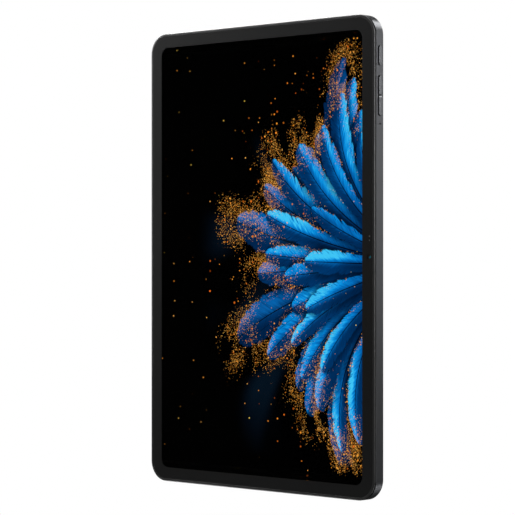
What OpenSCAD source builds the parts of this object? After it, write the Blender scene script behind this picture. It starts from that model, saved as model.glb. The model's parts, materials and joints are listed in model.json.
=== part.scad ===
// Tablet computer, standing upright in portrait.
// +X is to the right as seen from the front, the screen faces -Y and +Z is up.
// The origin is the centre of the rear housing's flat back face.
// Each sub-part is drawn lying down, screen up, with z = 0 on that back face, and upright() stands it up.

/* [Body] */
// Width of the body
body_w = 168; // [160:1:180]
// Height of the body
body_h = 257; // [250:1:275]
// Thickness without the camera ring
body_t = 7.6; // [7.4:0.1:8.6]
// Radius of the body's corners, seen from the front
corner_r = 11.4; // [10:0.1:13]
// Thickness of the housing's side walls
wall_t = 1.6; // [1.4:0.1:1.8]
// Thickness of the housing's back
back_t = 0.8; // [0.7:0.1:0.9]
// Rounding of the housing's back edge
back_edge_r = 0.8; // [0.4:0.1:1]
// Chamfer on the housing's front edge
front_chamfer = 0.15; // [0.1:0.05:0.4]

/* [Display] */
// Thickness of the cover glass
glass_t = 0.6; // [0.5:0.05:0.7]
// Width of the plastic rim around the glass
rim_w = 1.5; // [1.2:0.1:2]
// Thickness of the rim's outer lip
lip_t = 0.55; // [0.5:0.05:0.6]
// Width of the groove between the rim and the housing
groove_w = 0.8; // [0.6:0.05:0.85]
// Depth of that groove
groove_d = 0.5; // [0.3:0.1:0.7]
// Width of the lit area
screen_w = 151; // [140:1:152]
// Height of the lit area
screen_h = 241; // [230:1:242]

/* [Keys] */
// Height of the power button's centre above the body's centre
power_y = 106.5; // [100:0.5:108]
// Length of the power button
power_len = 10.2; // [8:0.1:12]
// Height of the volume rocker's centre above the body's centre
volume_y = 85.2; // [82:0.1:87]
// Length of the volume rocker
volume_len = 21; // [18:0.5:22]
// Width of both keys across the side wall
key_w = 2.1; // [1.8:0.1:2.4]
// How far the keys stand out of the wall
key_out = 0.8; // [0.4:0.05:0.9]
// Gap around a key in its slot
key_gap = 0.25; // [0.15:0.05:0.25]
// Distance of the keys' centre line from the back face
key_z = 3.5; // [3.4:0.1:3.8]

/* [Ports and holes] */
// Distance of the charging port's centre from the back face
port_z = 3.4; // [3.2:0.1:3.5]
// Radius of one speaker hole
speaker_hole_r = 0.65; // [0.4:0.05:0.8]
// Number of holes for each speaker
speaker_holes = 8; // [4:1:8]
// Spacing of the speaker holes
speaker_pitch = 2.4; // [2:0.1:2.5]
// Distance of each speaker's centre from the middle
speaker_x = 34; // [34:0.5:36]

/* [Rear camera] */
// Outer radius of the camera ring
camera_ring_r = 5.6; // [5.2:0.1:6.5]
// How far the camera ring stands out of the back
camera_out = 0.9; // [0.7:0.1:1.2]

/* [Hidden] */
$fn = 64;

over = 1; // how far a cutter runs past what it cuts

// Colours
shell_grey = [0.30, 0.31, 0.33];
rim_grey = [0.12, 0.12, 0.13];
glass_black = [0.02, 0.02, 0.025];
steel = [0.62, 0.63, 0.65];
board_green = [0.05, 0.20, 0.14];
chip_black = [0.08, 0.08, 0.09];
flex_amber = [0.45, 0.25, 0.06];
plastic_black = [0.06, 0.06, 0.07];
foil_grey = [0.42, 0.43, 0.45];

// Levels from the back face
housing_top = body_t - lip_t - groove_w;
lip_z = body_t - lip_t;
shelf_depth = 0.7;                    // of the shelf that the glass is bonded to
shelf_z = body_t - shelf_depth;
glass_z = body_t - glass_t;           // underside of the glass
panel_t = 0.7;
backlight_t = 0.9;
panel_z = shelf_z - panel_t;
backlight_z = panel_z - backlight_t;
spreader_t = 0.1;
flange_t = 0.85;
flange_z = housing_top - flange_t;    // underside of the rim's inner flange
flex_t = 0.1;
thick_flex_t = 0.12;
fit_gap = 0.05;                       // between parts that only just pass each other

// Outlines
glass_w = body_w - 2 * rim_w;
glass_h = body_h - 2 * rim_w;
glass_r = corner_r - rim_w;
glass_gap = 0.05;                     // all round the glass in its rim
cavity_w = body_w - 2 * wall_t;
cavity_h = body_h - 2 * wall_t;
cavity_r = corner_r - wall_t;
flange_gap = 0.1;
panel_margin = 1.3;                   // panel beyond the lit area
panel_w = screen_w + 2 * panel_margin;
panel_h = screen_h + 2 * panel_margin;
backlight_w = panel_w + 2;
backlight_h = panel_h + 1.4;
opening_w = backlight_w + 2.8;        // through the rim's flange
opening_h = backlight_h + 2.4;
screen_r = 4.8;
bond_inset = 0.3;                     // clear adhesive inside the panel's edge
seal_inset = 0.2;                     // black adhesive inside the glass's edge
seal_gap = 0.3;                       // black adhesive outside the flange's opening
spreader_inset_x = 8;
spreader_inset_y = 25;
lip_edge_r = 0.45;

// Side wall and keys
side_x = body_w / 2;
inner_x = cavity_w / 2;
slot_w = key_w + 2 * key_gap;
key_face_x = side_x + key_out;
key_travel_gap = 0.1;                 // between the power button's flange and the wall
key_flange_t = 0.6;
key_flange_over = 0.5;                // how far the flange is larger than the key
plunger_r = 0.7;
plunger_x = inner_x - 1.55;           // tip of each plunger
dome_gap = 0.38;                      // room for a key's travel over its dome, drawn pressed flat
dome_t = 0.47;
dome_r = 1.5;
dome_base_x = plunger_x - dome_gap - dome_t;
key_flex_t = 0.15;
bracket_t = 0.4;
bracket_x = dome_base_x - key_flex_t; // outer face of the bracket's plate
bracket_end = 3.5;                    // bracket beyond the keys at each end
key_flex_inset = 0.05;
key_flex_end = 5.5;                   // flex beyond the power button's centre
rocker_back_x = inner_x - 0.8;
rocker_plunger_y = 7.5;
pin_r = 0.4;
pin_gap = 0.03;
pin_x = inner_x - 1.2;
pin_wall = 0.25;                      // rocker behind its pin
lug_w = 2.4;
ear_gap = 0.15;
ear_t = 0.8;
front_ear_t = 0.4;
ear_w = 2.2;
ear_reach = 0.6;                      // ears beyond the pin's axis
bracket_z = 1.1;
bracket_tab_x = 1.6;                  // screws behind the bracket's plate
bracket_tab_w = 2.6;
pin_z0 = key_z - key_w / 2 - ear_gap - ear_t;
pin_z1 = key_z + key_w / 2 + ear_gap + front_ear_t;
waist_r = 1;
waist_depth = 0.35;
key_edge = 0.25;                      // chamfer around a key's face

// Microphones and sensors
mic_y = 70.5;
mic_z = 3.2;
mic_hole_r = 0.5;
upper_mic_x = -51.75;
upper_mic_hole_r = 0.45;
upper_mic_w = 3;
upper_mic_y0 = cavity_h / 2 - 2.6;
upper_mic_y1 = cavity_h / 2 - 0.2;
mic_notch_out = 0.1;                  // centre of the microphone's notch outside the glass
mic_w = 3;
mic_below = 0.45;                     // side microphone below and above its hole's axis
mic_above = 1.25;
front_camera_x = side_x - 3.8;
front_camera_y = 0.2;
front_camera_w = 4;
front_camera_h = 5.6;
front_camera_z = 4.7;
front_barrel_z = 6.2;
front_barrel_r = 1.7;
front_lens_r = 1.05;
front_lens_t = 0.3;
sensor_x = side_x - 3.6;
sensor_y = 10.15;
sensor_w = 2.8;
sensor_h = 5.4;
pocket_gap = 0.12;

// Rear camera and flash
camera_x = side_x - 16;
camera_y = body_h / 2 - 16.5;
camera_stub_r = camera_ring_r - 1;
camera_bore_r = camera_ring_r - 1.8;
camera_window_r = camera_ring_r - 1.3;
camera_window_t = 0.5;
camera_seat_z = -0.3;
camera_chamfer = 0.3;
camera_barrel_gap = 0.15;
camera_body_w = 9.6;
camera_body_z = 1.5;
camera_body_t = 3.5;
flash_y = camera_y - 10.5;
flash_r = 1.6;
flash_led_w = 2.2;

// Boards and battery
board_x0 = 46.5;
board_x1 = 77;
board_y0 = -66;
board_y1 = 98;
board_step_x = 56;
board_top_y = 104;
board_z = 1.9;
board_t = 0.7;
board_top = board_z + board_t;
connector_t = 0.8;
connector_top = board_top + connector_t;
shield_h = 1.5;
shield_t = 0.2;
cell_w = 59;
cell_h = 148;
cell_y = 4;
cell_t = 3.7;
cell_r = 1.5;
cell_top_y = cell_y + cell_h / 2;
tape_t = 0.15;
tape_inset = 7;
tape_r = 2;
left_cell_x = -47.5;
right_cell_x = 13.5;
guard_board_x = 22;                   // protection board beyond the cells' middles
guard_board_h = 5;
guard_board_z = 1.2;
guard_board_top = 3.4;
lead_x = right_cell_x + 10;
lead_y0 = cell_top_y + 0.8;
lead_y1 = cell_top_y + 4.4;

// Plugs and cans on the boards: left, right, lower and upper edge
display_plug = [51, 65, -60, -56.5];
link_plug = [64.5, 71, -65.5, -61.5];
battery_plug = [board_x0 + 2, board_x0 + 7, cell_top_y, cell_top_y + guard_board_h];
front_camera_plug = [72, 75.5, -1.5, 2];
rear_camera_plug = [65, 71, 90, 93];
usb_plug = [-6, 2, -103, -99];
processor_can = [49, 75, 12, 52];
radio_can = [52, 75, -54, -28];

// Flexes
display_flex_x0 = 50;
display_flex_x1 = 66;
display_flex_z = backlight_z - 0.25;
display_fold = 1.3;                   // fold beyond the panel's edge
display_flex_top = panel_z + 0.25;
link_flex_y0 = -96;                   // the run of the link flex across the body
link_flex_y1 = -90;
front_flex_x = 73;
front_flex_y0 = -1.2;
front_flex_y1 = 1.8;
front_flex_z = 4.75;

// Charging port
usb_shell_w = 8.94;
usb_shell_t = 3.16;
usb_wall = 0.3;
usb_mouth_y = 0.2 - body_h / 2;
tongue_w = 6.69;
tongue_t = 0.7;
tongue_inset = 0.7;                   // tongue behind the mouth
tongue_base_t = 1.2;
tongue_base_gap = 0.01;
usb_board_w = 26;
usb_board_y0 = -125.5;
usb_board_y1 = -98;
usb_board_z = 1.1;
usb_board_top = usb_board_z + board_t;
usb_back_y = -121;

// Speakers
speaker_w = 36;
speaker_h = 21;
speaker_y = 114;
speaker_z = 1;
speaker_t = 3.9;
driver_w = 24;
driver_h = 12;
driver_depth = 2.6;
driver_gap = 0.1;
box_wall = 0.6;
snout_w = 20;
snout_t = 3;
mesh_t = 0.3;
tab_x = 14;
tab_w = 3.2;
tab_z = 1.6;
tab_t = 0.6;
tab_y = speaker_y - speaker_h / 2 - 1.8;

// Screws
screw_r = 0.7;
screw_head_r = 1.35;
screw_head_t = 0.5;
boss_r = 1.8;
thin_screw_r = 0.45;
thin_head_r = 0.85;
thin_head_t = 0.4;
thin_boss_r = 1;
screw_clearance = 0.1;
board_screws = [[49.5, -62.5], [74, -62.5], [49.5, 5], [49.5, 94.5], [74.5, 101]];
usb_screws = [[-10, -101], [10, -101]];
speaker_screws = [for (side = [-1, 1], end = [-1, 1], tab = [-1, 1])
    [side * speaker_x + tab * tab_x, end * tab_y]];
bracket_screws = [[bracket_x - bracket_tab_x, power_y + 5.5], [bracket_x - bracket_tab_x, volume_y - 10.5]];

// Antenna
antenna_w = 24;
antenna_y = 119;
antenna_z = 3.2;
antenna_gap = 0.6;                    // between the antenna and the top wall
lid_gap = 0.15;                       // under the rim's flange

// ---- Helpers ----

// Stands a lying part up: its back face then looks along +Y and its top edge along +Z.
module upright() {
    rotate([90, 0, 0]) children();
}

// A rounded rectangle about the origin.
module rounded(w, h, r) {
    square([w - 2 * r, h], center = true);
    square([w, h - 2 * r], center = true);
    for (x = [-1, 1], y = [-1, 1])
        translate([x * (w / 2 - r), y * (h / 2 - r)]) circle(r);
}

// A slot outline with round ends, long in x.
module stadium(length, width) {
    square([length - width, width], center = true);
    for (x = [-1, 1]) translate([x * (length - width) / 2, 0]) circle(width / 2);
}

// A flat plate between two levels.
module plate(w, h, r, z0, z1) {
    translate([0, 0, z0]) linear_extrude(z1 - z0) rounded(w, h, r);
}

// A box given by its two corners.
module block(low, high) {
    translate(low) cube(high - low);
}

// Extrudes a 2D outline out of the right-hand wall: its x runs up the wall and its y towards the screen.
module out_of_side(x0, x1, y, z) {
    translate([x0, y, z]) rotate([90, 0, 90]) linear_extrude(x1 - x0) children();
}

// A cylinder along y between two places.
module along_y(x, z, y0, y1, r) {
    translate([x, y1, z]) rotate([90, 0, 0]) cylinder(r = r, h = y1 - y0);
}

// One straight edge and the corner at its start, from a profile with x outwards and y up.
module edge_run(length) {
    rotate_extrude(angle = 90) children();
    rotate([90, 0, 0]) linear_extrude(length) children();
}

// A slab with round corners whose edge follows such a profile all the way round.
module profiled_slab(w, h, r, t) {
    run_x = w - 2 * r;
    run_y = h - 2 * r;
    translate([-run_x / 2, -run_y / 2, 0]) cube([run_x, run_y, t]);
    for (half = [0, 180]) rotate([0, 0, half]) {
        translate([run_x / 2, run_y / 2, 0]) edge_run(run_y) children();
        translate([-run_x / 2, run_y / 2, 0]) rotate([0, 0, 90]) edge_run(run_x) children();
    }
}

// A key's body: a bar with round ends and a chamfer round its face, long in x and facing z.
module key_bar(length, width, depth, edge) {
    half = width / 2;
    for (x = [-1, 1]) translate([x * (length / 2 - half), 0, 0])
        rotate_extrude()
            polygon([[0, 0], [half, 0], [half, depth - edge], [half - edge, depth], [0, depth]]);
    translate([half - length / 2, 0, 0]) rotate([90, 0, 90]) linear_extrude(length - width)
        polygon([[-half, 0], [half, 0], [half, depth - edge], [half - edge, depth],
            [edge - half, depth], [-half, depth - edge]]);
}

// Places a bar or a cylinder that faces z so that it faces out of the right-hand wall.
module facing_side(x, y, z) {
    translate([x, y, z]) rotate([90, 0, 90]) children();
}

// A screw standing on z, its head above a part's top face.
module screw(x, y, z0, z1, r, head_r, head_t) {
    translate([x, y, z0]) cylinder(r = r, h = z1 - z0);
    translate([x, y, z1]) difference() {
        cylinder(r = head_r, h = head_t);
        translate([0, 0, head_t / 2]) cylinder(r = head_r / 2, h = head_t, $fn = 6);
    }
}

// A can with an open underside.
module shield_can(edges) {
    difference() {
        block([edges[0], edges[2], board_top], [edges[1], edges[3], board_top + shield_h]);
        block([edges[0] + shield_t, edges[2] + shield_t, board_top - over],
            [edges[1] - shield_t, edges[3] - shield_t, board_top + shield_h - shield_t]);
    }
}

// ---- Display ----

module cover_glass() upright() color(glass_black)
    plate(glass_w, glass_h, glass_r, glass_z, body_t);

module optical_adhesive() upright() color("white")
    plate(panel_w - 2 * bond_inset, panel_h - 2 * bond_inset, screen_r, shelf_z, glass_z);

module display_panel() upright() color("midnightblue")
    plate(panel_w, panel_h, screen_r, panel_z, shelf_z);

module backlight_unit() upright() color(steel)
    plate(backlight_w, backlight_h, screen_r, backlight_z, panel_z);

module heat_spreader() upright() color(foil_grey)
    plate(backlight_w - 2 * spreader_inset_x, backlight_h - 2 * spreader_inset_y, screen_r,
        backlight_z - spreader_t, backlight_z);

// Pockets in the rim and its bond line for the front camera and the light sensor.
module sensor_pockets(z0, z1) {
    block([front_camera_x - front_camera_w / 2 - pocket_gap,
            front_camera_y - front_camera_h / 2 - pocket_gap, z0],
        [front_camera_x + front_camera_w / 2 + pocket_gap,
            front_camera_y + front_camera_h / 2 + pocket_gap, z1]);
    block([sensor_x - sensor_w / 2 - pocket_gap, sensor_y - sensor_h / 2 - pocket_gap, z0],
        [sensor_x + sensor_w / 2 + pocket_gap, sensor_y + sensor_h / 2 + pocket_gap, z1]);
}

module display_frame() upright() color(rim_grey) {
    lip_r = corner_r;
    difference() {
        union() {
            translate([0, 0, lip_z]) profiled_slab(body_w, body_h, lip_r, lip_t) {
                square([lip_r - lip_edge_r, lip_t]);
                square([lip_r, lip_t - lip_edge_r]);
                translate([lip_r - lip_edge_r, lip_t - lip_edge_r]) circle(lip_edge_r);
            }
            plate(body_w - 2 * groove_d, body_h - 2 * groove_d, corner_r - groove_d,
                housing_top, lip_z);
            plate(cavity_w - 2 * flange_gap, cavity_h - 2 * flange_gap, cavity_r - flange_gap,
                flange_z, housing_top);
        }
        plate(glass_w + 2 * glass_gap, glass_h + 2 * glass_gap, glass_r + glass_gap,
            shelf_z, body_t + over);
        plate(opening_w, opening_h, screen_r, flange_z - over, shelf_z + over);
        sensor_pockets(flange_z - over, shelf_z + over);
        block([upper_mic_x - upper_mic_w / 2 - pocket_gap, upper_mic_y0 - pocket_gap, flange_z - over],
            [upper_mic_x + upper_mic_w / 2 + pocket_gap, upper_mic_y1 + over, housing_top]);
        translate([upper_mic_x, glass_h / 2 + mic_notch_out, flange_z])
            cylinder(r = upper_mic_hole_r, h = body_t);
    }
}

module display_adhesive() upright() color("dimgray") difference() {
    plate(glass_w - 2 * seal_inset, glass_h - 2 * seal_inset, glass_r - seal_inset, shelf_z, glass_z);
    plate(opening_w + 2 * seal_gap, opening_h + 2 * seal_gap, screen_r, shelf_z - over, glass_z + over);
    sensor_pockets(shelf_z - over, glass_z + over);
}

module display_flex() upright() color(flex_amber) {
    x0 = display_flex_x0;
    x1 = display_flex_x1;
    fold_y = -panel_h / 2 - display_fold;
    end_y = display_plug[2];
    block([x0, fold_y, display_flex_z], [x1, end_y, display_flex_z + flex_t]);
    block([x0, fold_y, display_flex_z], [x1, fold_y + flex_t, display_flex_top]);
    block([x0, fold_y, display_flex_top - flex_t], [x1, -panel_h / 2, display_flex_top]);
    block([x0, end_y - flex_t, connector_top], [x1, end_y, display_flex_z]);
    block([x0, end_y - flex_t, connector_top], [x1, display_plug[3], connector_top + flex_t]);
}

// ---- Housing ----

// The holes of one speaker, through the top or the bottom wall.
module speaker_slots(x, y0, y1) {
    for (i = [0 : speaker_holes - 1])
        along_y(x + (i - (speaker_holes - 1) / 2) * speaker_pitch, port_z, y0, y1,
            speaker_hole_r);
}

module boss(x, y, z1, r) {
    translate([x, y, 0]) cylinder(r = r, h = z1);
}

module rear_housing() upright() color(shell_grey) difference() {
    union() {
        difference() {
            profiled_slab(body_w, body_h, corner_r, housing_top) {
                polygon([[0, 0], [corner_r - back_edge_r, 0], [corner_r - back_edge_r, back_edge_r],
                    [corner_r, back_edge_r], [corner_r, housing_top - front_chamfer],
                    [corner_r - front_chamfer, housing_top], [0, housing_top]]);
                translate([corner_r - back_edge_r, back_edge_r]) circle(back_edge_r);
            }
            plate(cavity_w, cavity_h, cavity_r, back_t, housing_top + over);
        }
        for (p = board_screws) boss(p[0], p[1], board_z, boss_r);
        for (p = usb_screws) boss(p[0], p[1], usb_board_z, boss_r);
        for (p = speaker_screws) boss(p[0], p[1], tab_z, boss_r);
        for (p = bracket_screws) boss(p[0], p[1], tab_z, thin_boss_r);
    }
    for (p = concat(board_screws, usb_screws, speaker_screws))
        translate([p[0], p[1], back_t]) cylinder(r = screw_r, h = body_t);
    for (p = bracket_screws) translate([p[0], p[1], back_t]) cylinder(r = thin_screw_r, h = body_t);
    out_of_side(inner_x - over, side_x + over, power_y, key_z)
        stadium(power_len + 2 * key_gap, slot_w);
    out_of_side(inner_x - over, side_x + over, volume_y, key_z)
        stadium(volume_len + 2 * key_gap, slot_w);
    out_of_side(inner_x - over, side_x + over, mic_y, mic_z) circle(mic_hole_r);
    for (end = [-1, 1], side = [-1, 1])
        speaker_slots(side * speaker_x, end * body_h / 2 - wall_t - over,
            end * body_h / 2 + wall_t + over);
    translate([0, over - cavity_h / 2, port_z]) rotate([90, 0, 0])
        linear_extrude(wall_t + 2 * over)
            stadium(usb_shell_w + 2 * fit_gap, usb_shell_t + 2 * fit_gap);
    translate([camera_x, camera_y, -over]) cylinder(r = camera_stub_r + fit_gap, h = back_t + 2 * over);
    translate([camera_x, flash_y, -over]) cylinder(r = flash_r + fit_gap, h = back_t + 2 * over);
}

// ---- Battery ----

module battery_cell(x) upright() color("silver")
    translate([x, cell_y, 0])
        plate(cell_w, cell_h, cell_r, back_t + tape_t, back_t + tape_t + cell_t);

module battery_tape(x) upright() color("white")
    translate([x, cell_y, 0])
        plate(cell_w - 2 * tape_inset, cell_h - 2 * tape_inset, tape_r, back_t, back_t + tape_t);

module battery_cell_left() battery_cell(left_cell_x);
module battery_cell_right() battery_cell(right_cell_x);
module battery_tape_left() battery_tape(left_cell_x);
module battery_tape_right() battery_tape(right_cell_x);

module battery_protection_board() upright() color(plastic_black)
    block([left_cell_x - guard_board_x, cell_top_y, guard_board_z],
        [right_cell_x + guard_board_x, cell_top_y + guard_board_h, guard_board_top]);

module battery_lead() upright() color(flex_amber)
    block([lead_x, lead_y0, connector_top], [battery_plug[1], lead_y1, connector_top + thick_flex_t]);

// ---- Main board ----

module plug(edges) {
    block([edges[0], edges[2], board_top], [edges[1], edges[3], connector_top]);
}

module main_board() upright() color(board_green) {
    difference() {
        translate([0, 0, board_z]) linear_extrude(board_t)
            polygon([[board_x0, board_y0], [board_x1, board_y0], [board_x1, board_top_y],
                [board_step_x, board_top_y], [board_step_x, board_y1], [board_x0, board_y1]]);
        for (p = board_screws) translate([p[0], p[1], 0])
            cylinder(r = screw_r + screw_clearance, h = body_t);
    }
    for (edges = [display_plug, link_plug, battery_plug, front_camera_plug, rear_camera_plug])
        plug(edges);
}

// A chip from its centre, its width and height, and its thickness.
module chip(x, y, w, h, t) upright() color(chip_black)
    block([x - w / 2, y - h / 2, board_top], [x + w / 2, y + h / 2, board_top + t]);

module processor_chip() chip(62, 41, 14, 14, 0.9);
module memory_chip() chip(62, 22, 11.5, 13, 0.9);
module power_chip() chip(60, -14, 7, 7, 0.8);
module radio_chip() chip(62, -42, 8, 8, 0.8);

module processor_shield() upright() color(steel) shield_can(processor_can);
module radio_shield() upright() color(steel) shield_can(radio_can);

// ---- Charging port and lower board ----

module usb_board() upright() color(board_green) {
    difference() {
        block([-usb_board_w / 2, usb_board_y0, usb_board_z],
            [usb_board_w / 2, usb_board_y1, usb_board_top]);
        for (p = usb_screws) translate([p[0], p[1], 0])
            cylinder(r = screw_r + screw_clearance, h = body_t);
    }
    block([usb_plug[0], usb_plug[2], usb_board_top], [usb_plug[1], usb_plug[3], connector_top]);
}

module usb_c_shell() upright() color(steel) difference() {
    translate([0, usb_back_y, port_z]) rotate([90, 0, 0])
        linear_extrude(usb_back_y - usb_mouth_y) stadium(usb_shell_w, usb_shell_t);
    translate([0, usb_back_y + over, port_z]) rotate([90, 0, 0])
        linear_extrude(usb_back_y - usb_mouth_y + 2 * over)
            stadium(usb_shell_w - 2 * usb_wall, usb_shell_t - 2 * usb_wall);
}

module usb_c_tongue() upright() color(chip_black) {
    base_inset = 2 * (usb_wall + tongue_base_gap);
    translate([0, usb_back_y, port_z]) rotate([90, 0, 0]) linear_extrude(tongue_base_t)
        stadium(usb_shell_w - base_inset, usb_shell_t - base_inset);
    block([-tongue_w / 2, usb_mouth_y + tongue_inset, port_z - tongue_t / 2],
        [tongue_w / 2, usb_back_y, port_z + tongue_t / 2]);
}

module link_flex() upright() color(flex_amber) {
    z1 = connector_top + thick_flex_t;
    block([link_plug[0], link_flex_y1, connector_top], [link_plug[1], link_plug[3], z1]);
    block([usb_plug[0], link_flex_y0, connector_top], [link_plug[1], link_flex_y1, z1]);
    block([usb_plug[0], usb_plug[2], connector_top], [usb_plug[1], link_flex_y0, z1]);
}

// ---- Speakers ----

// A speaker box; side is -1 left or 1 right, end is -1 bottom or 1 top.
module speaker(side, end) upright() color(plastic_black) {
    rotate([0, 0, end > 0 ? 0 : 180]) translate([side * end * speaker_x, 0, 0]) {
        y0 = speaker_y - speaker_h / 2;
        y1 = speaker_y + speaker_h / 2;
        difference() {
            block([-speaker_w / 2, y0, speaker_z], [speaker_w / 2, y1, speaker_z + speaker_t]);
            block([-driver_w / 2 - driver_gap, speaker_y - driver_h / 2 - driver_gap,
                    speaker_z + speaker_t - driver_depth],
                [driver_w / 2 + driver_gap, speaker_y + driver_h / 2 + driver_gap, body_t]);
            block([box_wall - snout_w / 2, speaker_y + driver_h / 2 - over,
                    port_z - snout_t / 2 + box_wall],
                [snout_w / 2 - box_wall, y1 + over, port_z + snout_t / 2 - box_wall]);
        }
        difference() {
            block([-snout_w / 2, y1, port_z - snout_t / 2],
                [snout_w / 2, cavity_h / 2 - mesh_t, port_z + snout_t / 2]);
            block([box_wall - snout_w / 2, y1 - over, port_z - snout_t / 2 + box_wall],
                [snout_w / 2 - box_wall, body_h, port_z + snout_t / 2 - box_wall]);
        }
        for (tab = [-1, 1]) difference() {
            block([tab * tab_x - tab_w / 2, tab_y - tab_w / 2, tab_z],
                [tab * tab_x + tab_w / 2, y0, tab_z + tab_t]);
            translate([tab * tab_x, tab_y, 0])
                cylinder(r = screw_r + screw_clearance, h = body_t);
        }
    }
}

module driver(side, end) upright() color(steel)
    block([side * speaker_x - driver_w / 2, end * speaker_y - driver_h / 2,
            speaker_z + speaker_t - driver_depth],
        [side * speaker_x + driver_w / 2, end * speaker_y + driver_h / 2, speaker_z + speaker_t]);

module speaker_mesh(side, end) upright() color("dimgray")
    translate([side * speaker_x, end * (cavity_h - mesh_t) / 2, port_z])
        cube([snout_w, mesh_t, snout_t], center = true);

module speaker_top_left() speaker(-1, 1);
module speaker_top_right() speaker(1, 1);
module speaker_bottom_left() speaker(-1, -1);
module speaker_bottom_right() speaker(1, -1);
module driver_top_left() driver(-1, 1);
module driver_top_right() driver(1, 1);
module driver_bottom_left() driver(-1, -1);
module driver_bottom_right() driver(1, -1);
module mesh_top_left() speaker_mesh(-1, 1);
module mesh_top_right() speaker_mesh(1, 1);
module mesh_bottom_left() speaker_mesh(-1, -1);
module mesh_bottom_right() speaker_mesh(1, -1);

// ---- Keys ----

module power_button() upright() color(shell_grey) {
    flange_x = inner_x - key_travel_gap - key_flange_t;
    facing_side(flange_x + key_flange_t, power_y, key_z)
        key_bar(power_len, key_w, key_face_x - flange_x - key_flange_t, key_edge);
    out_of_side(flange_x, flange_x + key_flange_t, power_y, key_z)
        stadium(power_len + 2 * key_flange_over, key_w + 2 * key_flange_over);
    facing_side(plunger_x, power_y, key_z) cylinder(r = plunger_r, h = flange_x - plunger_x);
}

module volume_rocker() upright() color(shell_grey) difference() {
    union() {
        facing_side(rocker_back_x, volume_y, key_z)
            key_bar(volume_len, key_w, key_face_x - rocker_back_x, key_edge);
        block([pin_x - pin_r - pin_wall, volume_y - lug_w / 2, key_z - key_w / 2],
            [rocker_back_x, volume_y + lug_w / 2, key_z + key_w / 2]);
        for (end = [-1, 1]) facing_side(plunger_x, volume_y + end * rocker_plunger_y, key_z)
            cylinder(r = plunger_r, h = rocker_back_x - plunger_x);
    }
    translate([pin_x, volume_y, 0]) cylinder(r = pin_r + pin_gap, h = body_t);
    translate([key_face_x + waist_r - waist_depth, volume_y, 0]) cylinder(r = waist_r, h = body_t);
}

module rocker_pin() upright() color(steel)
    translate([pin_x, volume_y, pin_z0]) cylinder(r = pin_r, h = pin_z1 - pin_z0);

// A snap dome, with its crown towards the key.
module key_dome(y) upright() color(steel) facing_side(dome_base_x, y, key_z) {
    cylinder(r = dome_r, h = dome_t / 4);
    cylinder(r = dome_r * 0.7, h = dome_t * 0.6);
    cylinder(r = dome_r * 0.4, h = dome_t);
}

module power_dome() key_dome(power_y);
module volume_up_dome() key_dome(volume_y + rocker_plunger_y);
module volume_down_dome() key_dome(volume_y - rocker_plunger_y);

module key_bracket() upright() color(steel) difference() {
    union() {
        block([bracket_x - bracket_t, volume_y - volume_len / 2 - bracket_end, bracket_z],
            [bracket_x, power_y + power_len / 2 + bracket_end, flange_z - lid_gap]);
        block([bracket_x, volume_y - ear_w / 2, pin_z0],
            [pin_x + ear_reach, volume_y + ear_w / 2, pin_z0 + ear_t]);
        block([bracket_x, volume_y - ear_w / 2, pin_z1 - front_ear_t],
            [pin_x + ear_reach, volume_y + ear_w / 2, pin_z1]);
        for (p = bracket_screws) block([p[0] - thin_boss_r, p[1] - bracket_tab_w / 2, tab_z],
            [bracket_x - bracket_t, p[1] + bracket_tab_w / 2, tab_z + bracket_t]);
    }
    translate([pin_x, volume_y, pin_z0]) cylinder(r = pin_r, h = pin_z1 - pin_z0);
    for (p = bracket_screws) translate([p[0], p[1], 0])
        cylinder(r = thin_screw_r + screw_clearance, h = tab_z + bracket_t + over);
}

module key_flex() upright() color(flex_amber) {
    half_w = key_w / 2 - key_flex_inset;
    tail_y0 = mic_y - 2;
    tail_y1 = mic_y + 0.6;
    block([bracket_x, tail_y0, key_z - half_w], [dome_base_x, power_y + key_flex_end, key_z + half_w]);
    block([board_x1 - 4, tail_y0, board_top], [dome_base_x, tail_y1, board_top + flex_t]);
}

module side_microphone() upright() color("goldenrod")
    block([dome_base_x, mic_y - mic_w / 2, mic_z - mic_below],
        [inner_x, mic_y + mic_w / 2, mic_z + mic_above]);

module upper_microphone() upright() color("goldenrod")
    block([upper_mic_x - upper_mic_w / 2, upper_mic_y0, flange_z],
        [upper_mic_x + upper_mic_w / 2, upper_mic_y1, housing_top - fit_gap]);

// ---- Cameras, sensors and antenna ----

module front_camera() upright() color(plastic_black) difference() {
    union() {
        translate([front_camera_x - front_camera_w / 2, front_camera_y - front_camera_h / 2,
                front_camera_z])
            cube([front_camera_w, front_camera_h, front_barrel_z - front_camera_z]);
        translate([front_camera_x, front_camera_y, front_barrel_z])
            cylinder(r = front_barrel_r, h = shelf_z - front_barrel_z);
    }
    translate([front_camera_x, front_camera_y, shelf_z - front_lens_t])
        cylinder(r = front_lens_r, h = front_lens_t + over);
}

module front_camera_lens() upright() color("steelblue")
    translate([front_camera_x, front_camera_y, shelf_z - front_lens_t])
        cylinder(r = front_lens_r, h = front_lens_t);

module front_camera_flex() upright() color(flex_amber) {
    block([front_flex_x, front_flex_y0, front_flex_z],
        [front_camera_x - front_camera_w / 2, front_flex_y1, front_flex_z + flex_t]);
    block([front_flex_x, front_flex_y0, connector_top],
        [front_flex_x + flex_t, front_flex_y1, front_flex_z]);
}

module light_sensor() upright() color(chip_black)
    block([sensor_x - sensor_w / 2, sensor_y - sensor_h / 2, front_barrel_z],
        [sensor_x + sensor_w / 2, sensor_y + sensor_h / 2, shelf_z]);

module rear_camera() upright() color(plastic_black) {
    translate([camera_x, camera_y, 0]) {
        translate([-camera_body_w / 2, -camera_body_w / 2, camera_body_z])
            cube([camera_body_w, camera_body_w, camera_body_t]);
        cylinder(r = camera_bore_r - camera_barrel_gap, h = camera_body_z);
    }
}

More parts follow.
